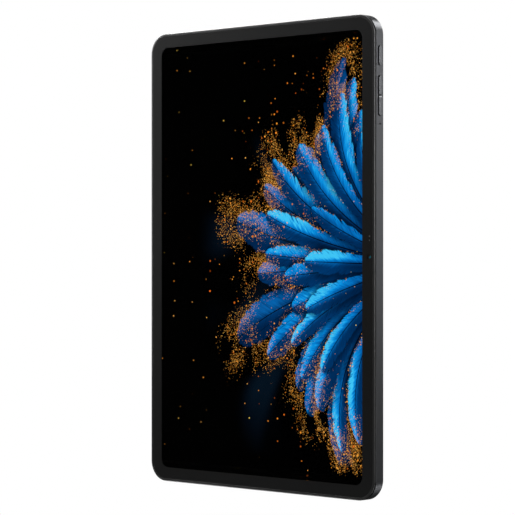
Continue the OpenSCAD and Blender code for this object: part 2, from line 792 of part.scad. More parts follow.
module rear_camera_ring() upright() color(shell_grey) translate([camera_x, camera_y, 0])
    difference() {
        union() {
            translate([0, 0, -camera_out]) rotate_extrude()
                polygon([[0, 0], [camera_ring_r - camera_chamfer, 0], [camera_ring_r, camera_chamfer],
                    [camera_ring_r, camera_out], [0, camera_out]]);
            cylinder(r = camera_stub_r, h = back_t);
        }
        translate([0, 0, -camera_out - over]) cylinder(r = camera_bore_r, h = body_t);
        translate([0, 0, -camera_out - over])
            cylinder(r = camera_window_r + fit_gap, h = camera_out + over + camera_seat_z);
    }

module rear_camera_window() upright() color(glass_black)
    translate([camera_x, camera_y, camera_seat_z - camera_window_t])
        cylinder(r = camera_window_r, h = camera_window_t);

module rear_camera_flex() upright() color(flex_amber)
    block([rear_camera_plug[0] + 1, rear_camera_plug[2], connector_top],
        [rear_camera_plug[1] - 1, camera_y - camera_body_w / 2, connector_top + flex_t]);

module flash_led() upright() color("khaki")
    block([camera_x - flash_led_w / 2, flash_y - flash_led_w / 2, back_t - fit_gap],
        [camera_x + flash_led_w / 2, flash_y + flash_led_w / 2, board_z]);

module flash_window() upright() color("white")
    translate([camera_x, flash_y, 0]) cylinder(r = flash_r, h = back_t - 2 * fit_gap);

module wifi_antenna() upright() color("goldenrod")
    block([-antenna_w / 2, antenna_y, antenna_z],
        [antenna_w / 2, cavity_h / 2 - antenna_gap, flange_z - lid_gap]);

module small_screws() upright() color(steel) {
    for (p = board_screws)
        screw(p[0], p[1], back_t, board_top, screw_r, screw_head_r, screw_head_t);
    for (p = usb_screws)
        screw(p[0], p[1], back_t, usb_board_top, screw_r, screw_head_r, screw_head_t);
    for (p = speaker_screws)
        screw(p[0], p[1], back_t, tab_z + tab_t, screw_r, screw_head_r, screw_head_t);
    for (p = bracket_screws)
        screw(p[0], p[1], back_t, tab_z + bracket_t, thin_screw_r, thin_head_r, thin_head_t);
}

cover_glass();
optical_adhesive();
display_panel();
backlight_unit();
heat_spreader();
display_frame();
display_adhesive();
display_flex();
rear_housing();
battery_cell_left();
battery_cell_right();
battery_tape_left();
battery_tape_right();
battery_protection_board();
battery_lead();
main_board();
processor_chip();
memory_chip();
power_chip();
radio_chip();
processor_shield();
radio_shield();
usb_board();
usb_c_shell();
usb_c_tongue();
link_flex();
speaker_top_left();
speaker_top_right();
speaker_bottom_left();
speaker_bottom_right();
driver_top_left();
driver_top_right();
driver_bottom_left();
driver_bottom_right();
mesh_top_left();
mesh_top_right();
mesh_bottom_left();
mesh_bottom_right();
power_button();
power_dome();
volume_rocker();
volume_up_dome();
volume_down_dome();
rocker_pin();
key_bracket();
key_flex();
side_microphone();
upper_microphone();
front_camera();
front_camera_lens();
front_camera_flex();
light_sensor();
rear_camera();
rear_camera_ring();
rear_camera_window();
rear_camera_flex();
flash_led();
flash_window();
wifi_antenna();
small_screws();
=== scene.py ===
"""Looks of the tablet computer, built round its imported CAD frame.

Everything is in metres in the frame's own axes: +X right, the screen faces -Y, +Z up, and the rear
housing's flat back face at y = 0.
"""

import json
import math

import bmesh
import bpy
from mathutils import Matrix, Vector


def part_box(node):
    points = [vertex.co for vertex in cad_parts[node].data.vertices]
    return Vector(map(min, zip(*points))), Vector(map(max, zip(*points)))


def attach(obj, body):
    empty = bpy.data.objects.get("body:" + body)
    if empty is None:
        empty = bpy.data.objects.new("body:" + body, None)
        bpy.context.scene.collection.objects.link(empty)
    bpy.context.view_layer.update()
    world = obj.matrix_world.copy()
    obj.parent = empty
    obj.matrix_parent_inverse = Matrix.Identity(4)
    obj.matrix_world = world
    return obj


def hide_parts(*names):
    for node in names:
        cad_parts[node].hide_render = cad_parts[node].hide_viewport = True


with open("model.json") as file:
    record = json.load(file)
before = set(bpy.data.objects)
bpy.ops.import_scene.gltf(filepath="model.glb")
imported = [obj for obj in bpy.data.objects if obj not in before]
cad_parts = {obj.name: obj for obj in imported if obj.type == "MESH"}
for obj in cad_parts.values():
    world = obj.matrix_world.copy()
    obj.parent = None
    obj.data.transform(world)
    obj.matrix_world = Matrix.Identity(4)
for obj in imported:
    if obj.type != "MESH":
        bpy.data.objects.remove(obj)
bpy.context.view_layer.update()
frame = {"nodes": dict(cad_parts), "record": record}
MM = 0.001

# ---- Sizes read from the frame ----

SHELL_LO, SHELL_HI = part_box("rear_housing")
RIM_LO, RIM_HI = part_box("display_frame")
GLASS_LO, GLASS_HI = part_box("cover_glass")
PANEL_LO, PANEL_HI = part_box("display_panel")
POWER_LO, POWER_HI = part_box("power_button")
VOLUME_LO, VOLUME_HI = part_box("volume_rocker")
RING_LO, RING_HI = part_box("rear_camera_ring")
BODY_W = SHELL_HI.x - SHELL_LO.x
BODY_H = SHELL_HI.z - SHELL_LO.z
FRONT_Y = RIM_LO.y
SHELL_FRONT_Y = SHELL_LO.y
SIDE_X = SHELL_HI.x

# ---- Sizes of the looks ----

CORNER_R = 11.4 * MM
WALL = 1.6 * MM
BACK_T = 0.8 * MM
BACK_EDGE_R = 0.8 * MM
FRONT_CHAMFER = 0.15 * MM
RIM_W = 1.5 * MM
LIP_T = 0.55 * MM
GROOVE_D = 0.5 * MM
SCREEN_W = 151 * MM
SCREEN_H = 241 * MM
SCREEN_R = 4.8 * MM
CORNER_STEPS = 20
SMOOTH_ANGLE = math.radians(35)

# Keys and side holes
KEY_W = VOLUME_HI.y - VOLUME_LO.y
KEY_Y = (VOLUME_HI.y + VOLUME_LO.y) / 2
KEY_FLANGE_OVER = (POWER_HI.y - POWER_LO.y - KEY_W) / 2
KEY_FLANGE_T = 0.6 * MM
POWER_Z = (POWER_HI.z + POWER_LO.z) / 2
POWER_LEN = POWER_HI.z - POWER_LO.z - 2 * KEY_FLANGE_OVER
VOLUME_Z = (VOLUME_HI.z + VOLUME_LO.z) / 2
VOLUME_LEN = VOLUME_HI.z - VOLUME_LO.z
KEY_FACE_X = VOLUME_HI.x
KEY_GAP = 0.25 * MM
KEY_ROUND = 0.15 * MM
POWER_FLANGE_X = SIDE_X - WALL - 0.7 * MM
ROCKER_BACK_X = SIDE_X - WALL - 0.8 * MM
ROCKER_PLUNGER_Z = 7.5 * MM
PLUNGER_R = 0.7 * MM
PLUNGER_TIP_X = POWER_LO.x
PLUNGER_CHAMFER = 0.1 * MM
JOINED = 0.1 * MM
PIN_LO, PIN_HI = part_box("rocker_pin")
PIN_X = (PIN_LO.x + PIN_HI.x) / 2
PIN_R = (PIN_HI.x - PIN_LO.x) / 2
PIN_GAP = 0.03 * MM
LUG_LEN = 2.4 * MM
LUG_ROUND = 0.2 * MM
LUG_WALL = 0.25 * MM
WAIST_R = 1 * MM
WAIST_DEPTH = 0.35 * MM
SLOT_FLARE = 0.05 * MM
HOLE_FLARE = 0.08 * MM
MIC_Z = 70.5 * MM
MIC_Y = -3.2 * MM
MIC_HOLE_R = 0.5 * MM

# Top and bottom walls
PORT_Y = -3.4 * MM
USB_LO, USB_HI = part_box("usb_c_shell")
USB_MOUTH_W = USB_HI.x - USB_LO.x + 0.1 * MM
USB_MOUTH_T = USB_HI.y - USB_LO.y + 0.1 * MM
SPEAKER_X = 34 * MM
SPEAKER_PITCH = 2.4 * MM
SPEAKER_HOLES = 8
SPEAKER_HOLE_R = 0.65 * MM
USB_WALL = 0.3 * MM
USB_LIP = 0.12 * MM
TONGUE_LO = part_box("usb_c_tongue")[0]
CONTACT_PITCH = 0.5 * MM
CONTACT_W = 0.26 * MM
CONTACT_LEN = 2.6 * MM
CONTACT_T = 0.02 * MM
CONTACT_COUNT = 12
CONTACT_INSET = 0.3 * MM
TONGUE_HALF_T = 0.35 * MM

# Rear camera and flash
CAMERA_AT = ((RING_LO.x + RING_HI.x) / 2, (RING_LO.z + RING_HI.z) / 2)
CAMERA_R = (RING_HI.x - RING_LO.x) / 2
CAMERA_OUT = RING_HI.y
CAMERA_STUB_R = CAMERA_R - 1 * MM
CAMERA_BORE_R = CAMERA_R - 1.8 * MM
CAMERA_SEAT_Y = 0.3 * MM
CAMERA_CHAMFER = 0.3 * MM
WINDOW_LO, WINDOW_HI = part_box("rear_camera_window")
WINDOW_R = (WINDOW_HI.x - WINDOW_LO.x) / 2
CAMERA_BODY_LO, CAMERA_BODY_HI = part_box("rear_camera")
CAMERA_BODY_Y = -1.5 * MM
BARREL_R = CAMERA_BORE_R - 0.15 * MM
BARREL_CHAMFER = 0.1 * MM
BARREL_STEPS = 4
BARREL_STEP_R = 3.05 * MM
BARREL_STEP_IN = 0.42 * MM
BARREL_STEP_DEPTH = 0.2 * MM
BARREL_STEP_SLOPE = 0.08 * MM
BARREL_STEP_WALL = 0.16 * MM
REAR_LENS_R = 1.75 * MM
REAR_LENS_Y = -0.72 * MM
REAR_LENS_BULGE = 0.35 * MM
FLASH_LO, FLASH_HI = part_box("flash_window")
FLASH_AT = ((FLASH_LO.x + FLASH_HI.x) / 2, (FLASH_LO.z + FLASH_HI.z) / 2)
FLASH_R = (FLASH_HI.x - FLASH_LO.x) / 2
FLASH_EDGE = 0.05 * MM
FLASH_BORDER = 0.3 * MM
FLASH_PITCH = 0.2 * MM
HOLE_GAP = 0.05 * MM

# Rim, glass and front camera
GLASS_W = GLASS_HI.x - GLASS_LO.x
GLASS_H = GLASS_HI.z - GLASS_LO.z
GLASS_R = CORNER_R - RIM_W
GLASS_GAP = 0.05 * MM
GLASS_BEVEL = 0.06 * MM
GLASS_CORNER_STEPS = 28
LIP_INNER_R = 0.06 * MM
SHELF_DEPTH = 0.7 * MM
CROWN_H = 0.3 * MM
LIP_TUCK = 0.3 * MM
FLANGE_INSET = WALL + 0.1 * MM
OPENING_INSET = 4.8 * MM
POCKET_GAP = 0.2 * MM
NOTCH_R = 0.45 * MM
NOTCH_X = -51.75 * MM
NOTCH_OUT = 0.1 * MM
FRONT_LENS_LO, FRONT_LENS_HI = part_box("front_camera_lens")
LENS_AT = ((FRONT_LENS_LO.x + FRONT_LENS_HI.x) / 2, (FRONT_LENS_LO.z + FRONT_LENS_HI.z) / 2)
LENS_SPOT_R = 1.5 * MM
SENSOR_SPOT_R = 0.55 * MM
SENSOR_LO, SENSOR_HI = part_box("light_sensor")
SENSOR_MID = (SENSOR_LO.z + SENSOR_HI.z) / 2
SENSOR_SPOT_Z = 1.1 * MM
# Parts of the front lens's radius
FRONT_LENS_BORE = 0.66
FRONT_LENS_FACE = 0.72
FRONT_LENS_DOME = 0.62
FRONT_DOME_IN = 0.18 * MM
FRONT_DOME_SAG = 0.12 * MM

# ---- Meshes ----


def make_object(name, verts, faces, material):
    """A mesh object at the origin with one material."""
    mesh = bpy.data.meshes.new(name)
    mesh.from_pydata([tuple(v) for v in verts], [], faces)
    mesh.materials.append(material)
    obj = bpy.data.objects.new(name, mesh)
    bpy.context.scene.collection.objects.link(obj)
    return obj


def front(u, v, y):
    """Places an outline that is seen from the front."""
    return Vector((u, y, v))


def side(u, v, x):
    """Places an outline that is seen from the right: u runs up and v towards the back."""
    return Vector((x, v, u))


def below(u, v, z):
    """Places an outline that is seen from above or below: u runs right and v towards the back."""
    return Vector((u, v, z))


def rounded_outline(w, h, r, centre=(0, 0), steps=CORNER_STEPS):
    """Corner samples of a rounded rectangle: (arc centre, unit normal, radius) all the way round."""
    samples = []
    for corner, (sx, sy) in enumerate(((1, 1), (-1, 1), (-1, -1), (1, -1))):
        cx = centre[0] + sx * (w / 2 - r)
        cy = centre[1] + sy * (h / 2 - r)
        for i in range(steps + 1):
            a = math.pi / 2 * (corner + i / steps)
            samples.append((cx, cy, math.cos(a), math.sin(a), r))
    return samples


def circle_outline(r, centre=(0, 0), steps=48):
    """The same for a circle."""
    turns = [2 * math.pi * i / steps for i in range(steps)]
    return [(centre[0], centre[1], math.cos(a), math.sin(a), r) for a in turns]


def arc(cx, cy, r, start, end, steps=6):
    """Points of an arc in a profile, angles in degrees."""
    angles = [math.radians(start + (end - start) * i / steps) for i in range(steps + 1)]
    return [(cx + r * math.cos(a), cy + r * math.sin(a)) for a in angles]


def smooth(obj):
    """Smooth shading that keeps the sharp edges sharp."""
    for polygon in obj.data.polygons:
        polygon.use_smooth = True
    obj.data.set_sharp_from_angle(angle=SMOOTH_ANGLE)


def sweep(name, outline, profile, place, material, ring=False, other=None, other_rows=()):
    """Sweeps a profile of (inset, depth) points round an outline.

    A ring joins the profile's ends; otherwise both are capped. The faces that start at the profile points
    numbered in other_rows take the other material.
    """
    n = len(outline)
    verts = []
    for inset, depth in profile:
        for cx, cy, nx, ny, r in outline:
            verts.append(place(cx + nx * (r - inset), cy + ny * (r - inset), depth))
    faces = []
    rows = len(profile) if ring else len(profile) - 1
    for row in range(rows):
        a, b = row * n, (row + 1) % len(profile) * n
        for i in range(n):
            j = (i + 1) % n
            faces.append((a + i, a + j, b + j, b + i))
    if not ring:
        faces.append(tuple(range(n - 1, -1, -1)))
        last = (len(profile) - 1) * n
        faces.append(tuple(range(last, last + n)))
    obj = make_object(name, verts, faces, material)
    if other:
        obj.data.materials.append(other)
        for row in other_rows:
            for polygon in obj.data.polygons[row % rows * n:(row % rows + 1) * n]:
                polygon.material_index = 1
    return clean(obj)


def clean(obj):
    """Merges doubled points, makes the faces look outwards and shades them smooth up to 35 degrees."""
    bm = bmesh.new()
    bm.from_mesh(obj.data)
    bmesh.ops.remove_doubles(bm, verts=bm.verts, dist=1e-7)
    bmesh.ops.dissolve_degenerate(bm, edges=bm.edges, dist=1e-8)
    bmesh.ops.recalc_face_normals(bm, faces=bm.faces)
    bm.to_mesh(obj.data)
    bm.free()
    smooth(obj)
    return obj


def apply_modifiers(obj):
    """Bakes an object's modifiers into its mesh."""
    graph = bpy.context.evaluated_depsgraph_get()
    mesh = bpy.data.meshes.new_from_object(obj.evaluated_get(graph), depsgraph=graph)
    obj.modifiers.clear()
    old = obj.data
    obj.data = mesh
    bpy.data.meshes.remove(old)
    return obj


def cut(obj, cutters):
    """Subtracts the cutters from an object and deletes them."""
    for cutter in cutters:
        modifier = obj.modifiers.new("cut", "BOOLEAN")
        modifier.operation = "DIFFERENCE"
        modifier.solver = "EXACT"
        modifier.object = cutter
    bpy.context.view_layer.update()
    apply_modifiers(obj)
    for cutter in cutters:
        bpy.data.objects.remove(cutter)
    clean(obj)
    return obj


def join(obj, other):
    """Adds another object's mesh to the first one and removes it."""
    bm = bmesh.new()
    bm.from_mesh(obj.data)
    bm.from_mesh(other.data)
    bm.to_mesh(obj.data)
    bm.free()
    smooth(obj)
    bpy.data.objects.remove(other)
    return obj


def flat_normals(obj):
    """Keeps large flat faces flat beside small round edges."""
    modifier = obj.modifiers.new("normals", "WEIGHTED_NORMAL")
    modifier.keep_sharp = True
    modifier.weight = 50
    return obj


def dress(obj, body, slot, *nodes):
    """Rides a piece on its body and hides the CAD nodes that it stands for; its slot argument is not used."""
    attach(obj, body)
    if nodes:
        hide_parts(*nodes)
    return obj


# ---- Node helpers ----


class Value:
    """A number inside a material, so that its formula can be written as ordinary sums."""

    def __init__(self, tree, socket):
        self.tree = tree
        self.socket = socket

    def math(self, operation, *others, clamp=False):
        """This value and others through one math node."""
        node = self.tree.nodes.new("ShaderNodeMath")
        node.operation = operation
        node.use_clamp = clamp
        feed(self.tree, self, node.inputs[0])
        for i, other in enumerate(others):
            feed(self.tree, other, node.inputs[i + 1])
        return Value(self.tree, node.outputs[0])

    def __add__(self, other):
        return self.math("ADD", other)

    def __sub__(self, other):
        return self.math("SUBTRACT", other)

    def __mul__(self, other):
        return self.math("MULTIPLY", other)

    def __truediv__(self, other):
        return self.math("DIVIDE", other)

    def __rsub__(self, other):
        return (self * -1.0).math("ADD", other)

    __radd__ = __add__
    __rmul__ = __mul__

    def abs(self):
        return self.math("ABSOLUTE")

    def sqrt(self):
        return self.math("SQRT")

    def power(self, exponent):
        return self.math("POWER", exponent)

    def clamped(self):
        return self.math("ADD", 0.0, clamp=True)

    def step(self, low, high):
        """0 below low, 1 above high and smooth between them."""
        node = self.tree.nodes.new("ShaderNodeMapRange")
        node.interpolation_type = "SMOOTHSTEP"
        feed(self.tree, self, node.inputs["Value"])
        feed(self.tree, low, node.inputs["From Min"])
        feed(self.tree, high, node.inputs["From Max"])
        return Value(self.tree, node.outputs["Result"])


def feed(tree, source, target):
    """Links a value or a socket to an input, or sets the input to a plain number or colour."""
    if isinstance(source, Value):
        tree.links.new(source.socket, target)
    elif isinstance(source, bpy.types.NodeSocket):
        tree.links.new(source, target)
    else:
        target.default_value = source


def vector(tree, x, y, z=0.0):
    """Three numbers joined into a vector."""
    node = tree.nodes.new("ShaderNodeCombineXYZ")
    for part, target in zip((x, y, z), node.inputs):
        feed(tree, part, target)
    return node.outputs[0]


def object_position(tree):
    """Where a point lies in the frame, in millimetres, as three values."""
    coordinates = tree.nodes.new("ShaderNodeTexCoord")
    parts = tree.nodes.new("ShaderNodeSeparateXYZ")
    tree.links.new(coordinates.outputs["Object"], parts.inputs[0])
    return [Value(tree, out) * 1000.0 for out in parts.outputs]


def noise(tree, where, scale=1.0, detail=2.0, roughness=0.5):
    """Smooth noise at a place, as a value."""
    node = tree.nodes.new("ShaderNodeTexNoise")
    node.inputs["Scale"].default_value = scale
    node.inputs["Detail"].default_value = detail
    node.inputs["Roughness"].default_value = roughness
    tree.links.new(where, node.inputs["Vector"])
    return Value(tree, node.outputs[0])


def random_parts(tree, number):
    """Three random values that depend on one number."""
    node = tree.nodes.new("ShaderNodeTexWhiteNoise")
    node.noise_dimensions = "1D"
    feed(tree, number, node.inputs["W"])
    parts = tree.nodes.new("ShaderNodeSeparateColor")
    tree.links.new(node.outputs["Color"], parts.inputs[0])
    return [Value(tree, out) for out in parts.outputs]


def blend(tree, amount, low, high, mode="MIX"):
    """Mixes two colours."""
    node = tree.nodes.new("ShaderNodeMix")
    node.data_type = "RGBA"
    node.blend_type = mode
    feed(tree, amount, node.inputs[0])
    feed(tree, low, node.inputs[6])
    feed(tree, high, node.inputs[7])
    return node.outputs[2]


def grey(level):
    """An even grey as a colour."""
    return (level, level, level, 1.0)


def rgb(r, g, b):
    """A colour from its three parts."""
    return (r, g, b, 1.0)


def new_material(name):
    """An empty node material with its tree, its Principled shader and its output."""
    material = bpy.data.materials.new(name)
    material.use_nodes = True
    tree = material.node_tree
    tree.nodes.clear()
    output = tree.nodes.new("ShaderNodeOutputMaterial")
    shader = tree.nodes.new("ShaderNodeBsdfPrincipled")
    tree.links.new(shader.outputs[0], output.inputs["Surface"])
    return material, tree, shader


def bump(tree, shader, height, distance, strength=1.0):
    """Raises the surface by a height times a depth, in the look only."""
    node = tree.nodes.new("ShaderNodeBump")
    node.inputs["Strength"].default_value = strength
    node.inputs["Distance"].default_value = distance
    feed(tree, height, node.inputs["Height"])
    tree.links.new(node.outputs[0], shader.inputs["Normal"])


def grained(name, dark, light, scale, roughness, metallic=0.0, rough_spread=0.06, depth=0.00001,
            specular=0.5):
    """A moulded, blasted or coated surface: a fine grain in colour, roughness and height."""
    material, tree, shader = new_material(name)
    x, y, z = object_position(tree)
    where = vector(tree, x, y, z)
    fine = noise(tree, where, scale, 3.0, 0.6)
    broad = noise(tree, where, scale / 40, 2.0)
    tree.links.new(blend(tree, fine * 0.6 + broad * 0.4, dark, light), shader.inputs["Base Color"])
    feed(tree, fine * (2 * rough_spread) + (roughness - rough_spread), shader.inputs["Roughness"])
    shader.inputs["Metallic"].default_value = metallic
    shader.inputs["Specular IOR Level"].default_value = specular
    bump(tree, shader, fine, depth)
    return material


# ---- Materials ----

BORDER_DARK = grey(0.003)
BORDER_LIGHT = grey(0.005)
SHELL_DARK = rgb(0.085, 0.087, 0.092)
SHELL_LIGHT = rgb(0.105, 0.107, 0.113)


def anodised(name, dark, light):
    """Blasted and anodised aluminium: fine even grain and a satin gloss."""
    return grained(name, dark, light, 5.0, 0.30, metallic=1.0, rough_spread=0.05, depth=0.000004)


def smooth_metal(name, colour, roughness, stretch=(1, 1, 30)):
    """Stamped or plated metal with fine lines along one axis."""
    material, tree, shader = new_material(name)
    x, y, z = object_position(tree)
    where = vector(tree, x * stretch[0], y * stretch[1], z * stretch[2])
    lines = noise(tree, where, 1.2, 3.0)
    darker = tuple(0.75 * c for c in colour[:3]) + (1,)
    tree.links.new(blend(tree, lines, darker, colour), shader.inputs["Base Color"])
    feed(tree, lines * 0.16 + (roughness - 0.08), shader.inputs["Roughness"])
    shader.inputs["Metallic"].default_value = 1.0
    bump(tree, shader, lines, 0.000003)
    return material


def printed_border(name):
    """The black print under the glass's edge, with the glass's own soft sheen."""
    material, tree, shader = new_material(name)
    x, y, z = object_position(tree)
    haze = noise(tree, vector(tree, x, y, z), 0.05, 2.0)
    grain = noise(tree, vector(tree, x, y, z), 3.0, 2.0)
    tree.links.new(blend(tree, haze, BORDER_DARK, BORDER_LIGHT), shader.inputs["Base Color"])
    feed(tree, grain * 0.04 + 0.34, shader.inputs["Roughness"])
    shader.inputs["IOR"].default_value = 1.5
    return material


def clear_glass(name, mirror=0.008, tint=None):
    """Coated glass: nearly nothing of it shows straight on, and it mirrors more along its surface."""
    material = bpy.data.materials.new(name)
    material.use_nodes = True
    tree = material.node_tree
    tree.nodes.clear()
    output = tree.nodes.new("ShaderNodeOutputMaterial")
    mix = tree.nodes.new("ShaderNodeMixShader")
    through = tree.nodes.new("ShaderNodeBsdfTransparent")
    gloss = tree.nodes.new("ShaderNodeBsdfGlossy")
    slant = tree.nodes.new("ShaderNodeLayerWeight")
    slant.inputs["Blend"].default_value = 0.5
    facing = Value(tree, slant.outputs["Facing"])
    gloss.inputs["Roughness"].default_value = 0.03
    if tint:
        through.inputs["Color"].default_value = tint
    feed(tree, facing.power(5.0) * 0.7 + mirror, mix.inputs[0])
    tree.links.new(through.outputs[0], mix.inputs[1])
    tree.links.new(gloss.outputs[0], mix.inputs[2])
    tree.links.new(mix.outputs[0], output.inputs["Surface"])
    return material


def circuit_board(name):
    """Solder mask over traces, with bare gold pads here and there."""
    material, tree, shader = new_material(name)
    x, y, z = object_position(tree)
    cells = tree.nodes.new("ShaderNodeTexVoronoi")
    cells.distance = "MANHATTAN"
    cells.inputs["Scale"].default_value = 0.9
    tree.links.new(vector(tree, x, z), cells.inputs["Vector"])
    near = Value(tree, cells.outputs["Distance"])
    traces = noise(tree, vector(tree, x * 2.5, z * 0.4), 1.5, 2.0)
    mask = blend(tree, traces.step(0.45, 0.55), rgb(0.01, 0.07, 0.05), rgb(0.015, 0.11, 0.075))
    pads = 1.0 - near.step(0.10, 0.14)
    tree.links.new(blend(tree, pads, mask, rgb(0.65, 0.45, 0.15)), shader.inputs["Base Color"])
    feed(tree, pads, shader.inputs["Metallic"])
    shader.inputs["Roughness"].default_value = 0.4
    bump(tree, shader, traces, 0.00002)
    return material


def woven_wire(name):
    """Acoustic mesh: dark wires that cross over and under."""
    material, tree, shader = new_material(name)
    x, y, z = object_position(tree)
    over = ((x * 24.0).math("SINE") + (z * 24.0).math("SINE")) * 0.25 + 0.5
    tree.links.new(blend(tree, over, grey(0.01), grey(0.09)), shader.inputs["Base Color"])
    shader.inputs["Metallic"].default_value = 0.6
    feed(tree, over * 0.2 + 0.35, shader.inputs["Roughness"])
    bump(tree, shader, over, 0.00005)
    return material


def lens_tint_and_painted_glint(name, inner, outer, place, reach):
    """Coated lens: its base colour holds the coating's tint and a painted glint, two colours that meet across
    its face, the lighter towards +X and up.
    """
    material, tree, shader = new_material(name)
    x, y, z = object_position(tree)
    across = ((x - place[0]) * 0.7 + (z - place[1]) * 0.7) / reach
    swirl = noise(tree, vector(tree, x, y, z), 0.6, 1.0)
    amount = (across * 0.5 + swirl * 0.5 + 0.25).clamped()
    # Painted glint: the base colour turns from the inner to the lighter outer colour across the face.
    tree.links.new(blend(tree, amount, inner, outer), shader.inputs["Base Color"])
    feed(tree, swirl * 0.04 + 0.03, shader.inputs["Roughness"])
    shader.inputs["Coat Weight"].default_value = 1.0
    shader.inputs["Coat Roughness"].default_value = 0.02
    return material


def rim_plastic():
    """The rim's satin moulding, with a metallic coat."""
    return grained("rim_plastic", grey(0.11), grey(0.13), 6.0, 0.32, metallic=0.9, rough_spread=0.04,
                   depth=0.000003)


def finishes():
    """One material for each of the record's slots, for the CAD nodes that keep their shape."""
    return {
        "adhesive": grained("adhesive_film", grey(0.55), grey(0.62), 1.5, 0.45),
        "clear_plastic": grained("frosted_plastic", rgb(0.42, 0.40, 0.33), rgb(0.52, 0.50, 0.42), 4.0, 0.3),
        "display": grained("panel_edge", grey(0.01), grey(0.014), 2.0, 0.3),
        "steel": smooth_metal("stamped_steel", rgb(0.55, 0.56, 0.58), 0.32),
        "rim_plastic": rim_plastic(),
        "housing_aluminium": anodised("anodised_aluminium", SHELL_DARK, SHELL_LIGHT),
        "battery_foil": smooth_metal("pouch_foil", rgb(0.42, 0.43, 0.45), 0.4, (3, 1, 3)),
        "board": circuit_board("solder_mask"),
        "flex": grained("polyimide_film", rgb(0.30, 0.14, 0.03), rgb(0.42, 0.21, 0.05), 1.0, 0.35),
        "chip": grained("moulded_package", grey(0.018), grey(0.028), 6.0, 0.6),
        "black_plastic": grained("black_plastic", grey(0.012), grey(0.02), 6.0, 0.5),
        "cover_glass": clear_glass("coated_glass"),
        "lens_glass": clear_glass("lens_window", 0.03),
    }


# ---- Outer shells ----


def stadium(length, width, centre, steps=10):
    """A slot outline with round ends, long along its first axis."""
    return rounded_outline(length, width, width / 2, centre, steps)


def straight_cutter(name, outline, place, start, end):
    """A cutter of one size from start to end."""
    return sweep(name, outline, [(0, start), (0, end)], place, None)


def flared_cutter(name, outline, place, start, surface, flare, direction):
    """A cutter that widens by flare where it leaves the surface; direction is 1 where that is towards +."""
    inside = surface - direction * flare
    outside = surface + direction * flare
    return sweep(name, outline, [(0, start), (0, inside), (-2 * flare, outside)], place, None)


def lathe(name, at, profile, material, ring=False, other=None, other_rows=(), steps=72):
    """A round piece on an axis along Y, from (radius, y) points."""
    size = max(radius for radius, y in profile)
    return sweep(name, circle_outline(size, at, steps), [(size - radius, y) for radius, y in profile],
                 front, material, ring, other, other_rows)


def rear_housing(material, dark):
    """The aluminium shell: a shallow pan with a round back edge, a small front chamfer and all its openings.

    Its edge inside the groove is painted black as shade, so the groove reads as a dark line.
    """
    profile = [(WALL, -BACK_T), (WALL, SHELL_FRONT_Y), (FRONT_CHAMFER, SHELL_FRONT_Y),
               (0, SHELL_FRONT_Y + FRONT_CHAMFER)]
    profile += [(BACK_EDGE_R - px, py - BACK_EDGE_R)
                for px, py in arc(0, 0, BACK_EDGE_R, 0, 90, 8)]
    # Profile row 1, the front-facing ring behind the rim, takes the black material: painted shade for the
    # groove.
    shell = sweep("rear_shell", rounded_outline(BODY_W, BODY_H, CORNER_R), profile, front, material,
                  other=dark, other_rows=(1,))
    inside = SIDE_X - WALL - MM
    cutters = [flared_cutter("power_slot", stadium(POWER_LEN + 2 * KEY_GAP, KEY_W + 2 * KEY_GAP,
                                                   (POWER_Z, KEY_Y)), side, inside, SIDE_X, SLOT_FLARE, 1),
               flared_cutter("volume_slot", stadium(VOLUME_LEN + 2 * KEY_GAP, KEY_W + 2 * KEY_GAP,
                                                    (VOLUME_Z, KEY_Y)), side, inside, SIDE_X, SLOT_FLARE, 1),
               flared_cutter("side_hole", circle_outline(MIC_HOLE_R, (MIC_Z, MIC_Y), 24), side,
                             inside, SIDE_X, HOLE_FLARE, 1),
               flared_cutter("usb_mouth", stadium(USB_MOUTH_W, USB_MOUTH_T, (0, PORT_Y)), below,
                             WALL + MM - BODY_H / 2, -BODY_H / 2, SLOT_FLARE, -1),
               straight_cutter("camera_hole", circle_outline(CAMERA_STUB_R + HOLE_GAP, CAMERA_AT), front,
                               -BACK_T - MM, MM),
               straight_cutter("flash_hole", circle_outline(FLASH_R + HOLE_GAP, FLASH_AT), front,
                               -BACK_T - MM, MM)]
    for end in (-1, 1):
        for speaker in (-1, 1):
            for i in range(SPEAKER_HOLES):
                x = speaker * SPEAKER_X + (i - (SPEAKER_HOLES - 1) / 2) * SPEAKER_PITCH
                cutters.append(flared_cutter("speaker_hole", circle_outline(SPEAKER_HOLE_R, (x, PORT_Y), 24),
                                             below, end * (BODY_H / 2 - WALL - MM), end * BODY_H / 2,
                                             HOLE_FLARE, end))
    cut(shell, cutters)
    return dress(flat_normals(shell), "chassis", "housing_aluminium", "rear_housing")


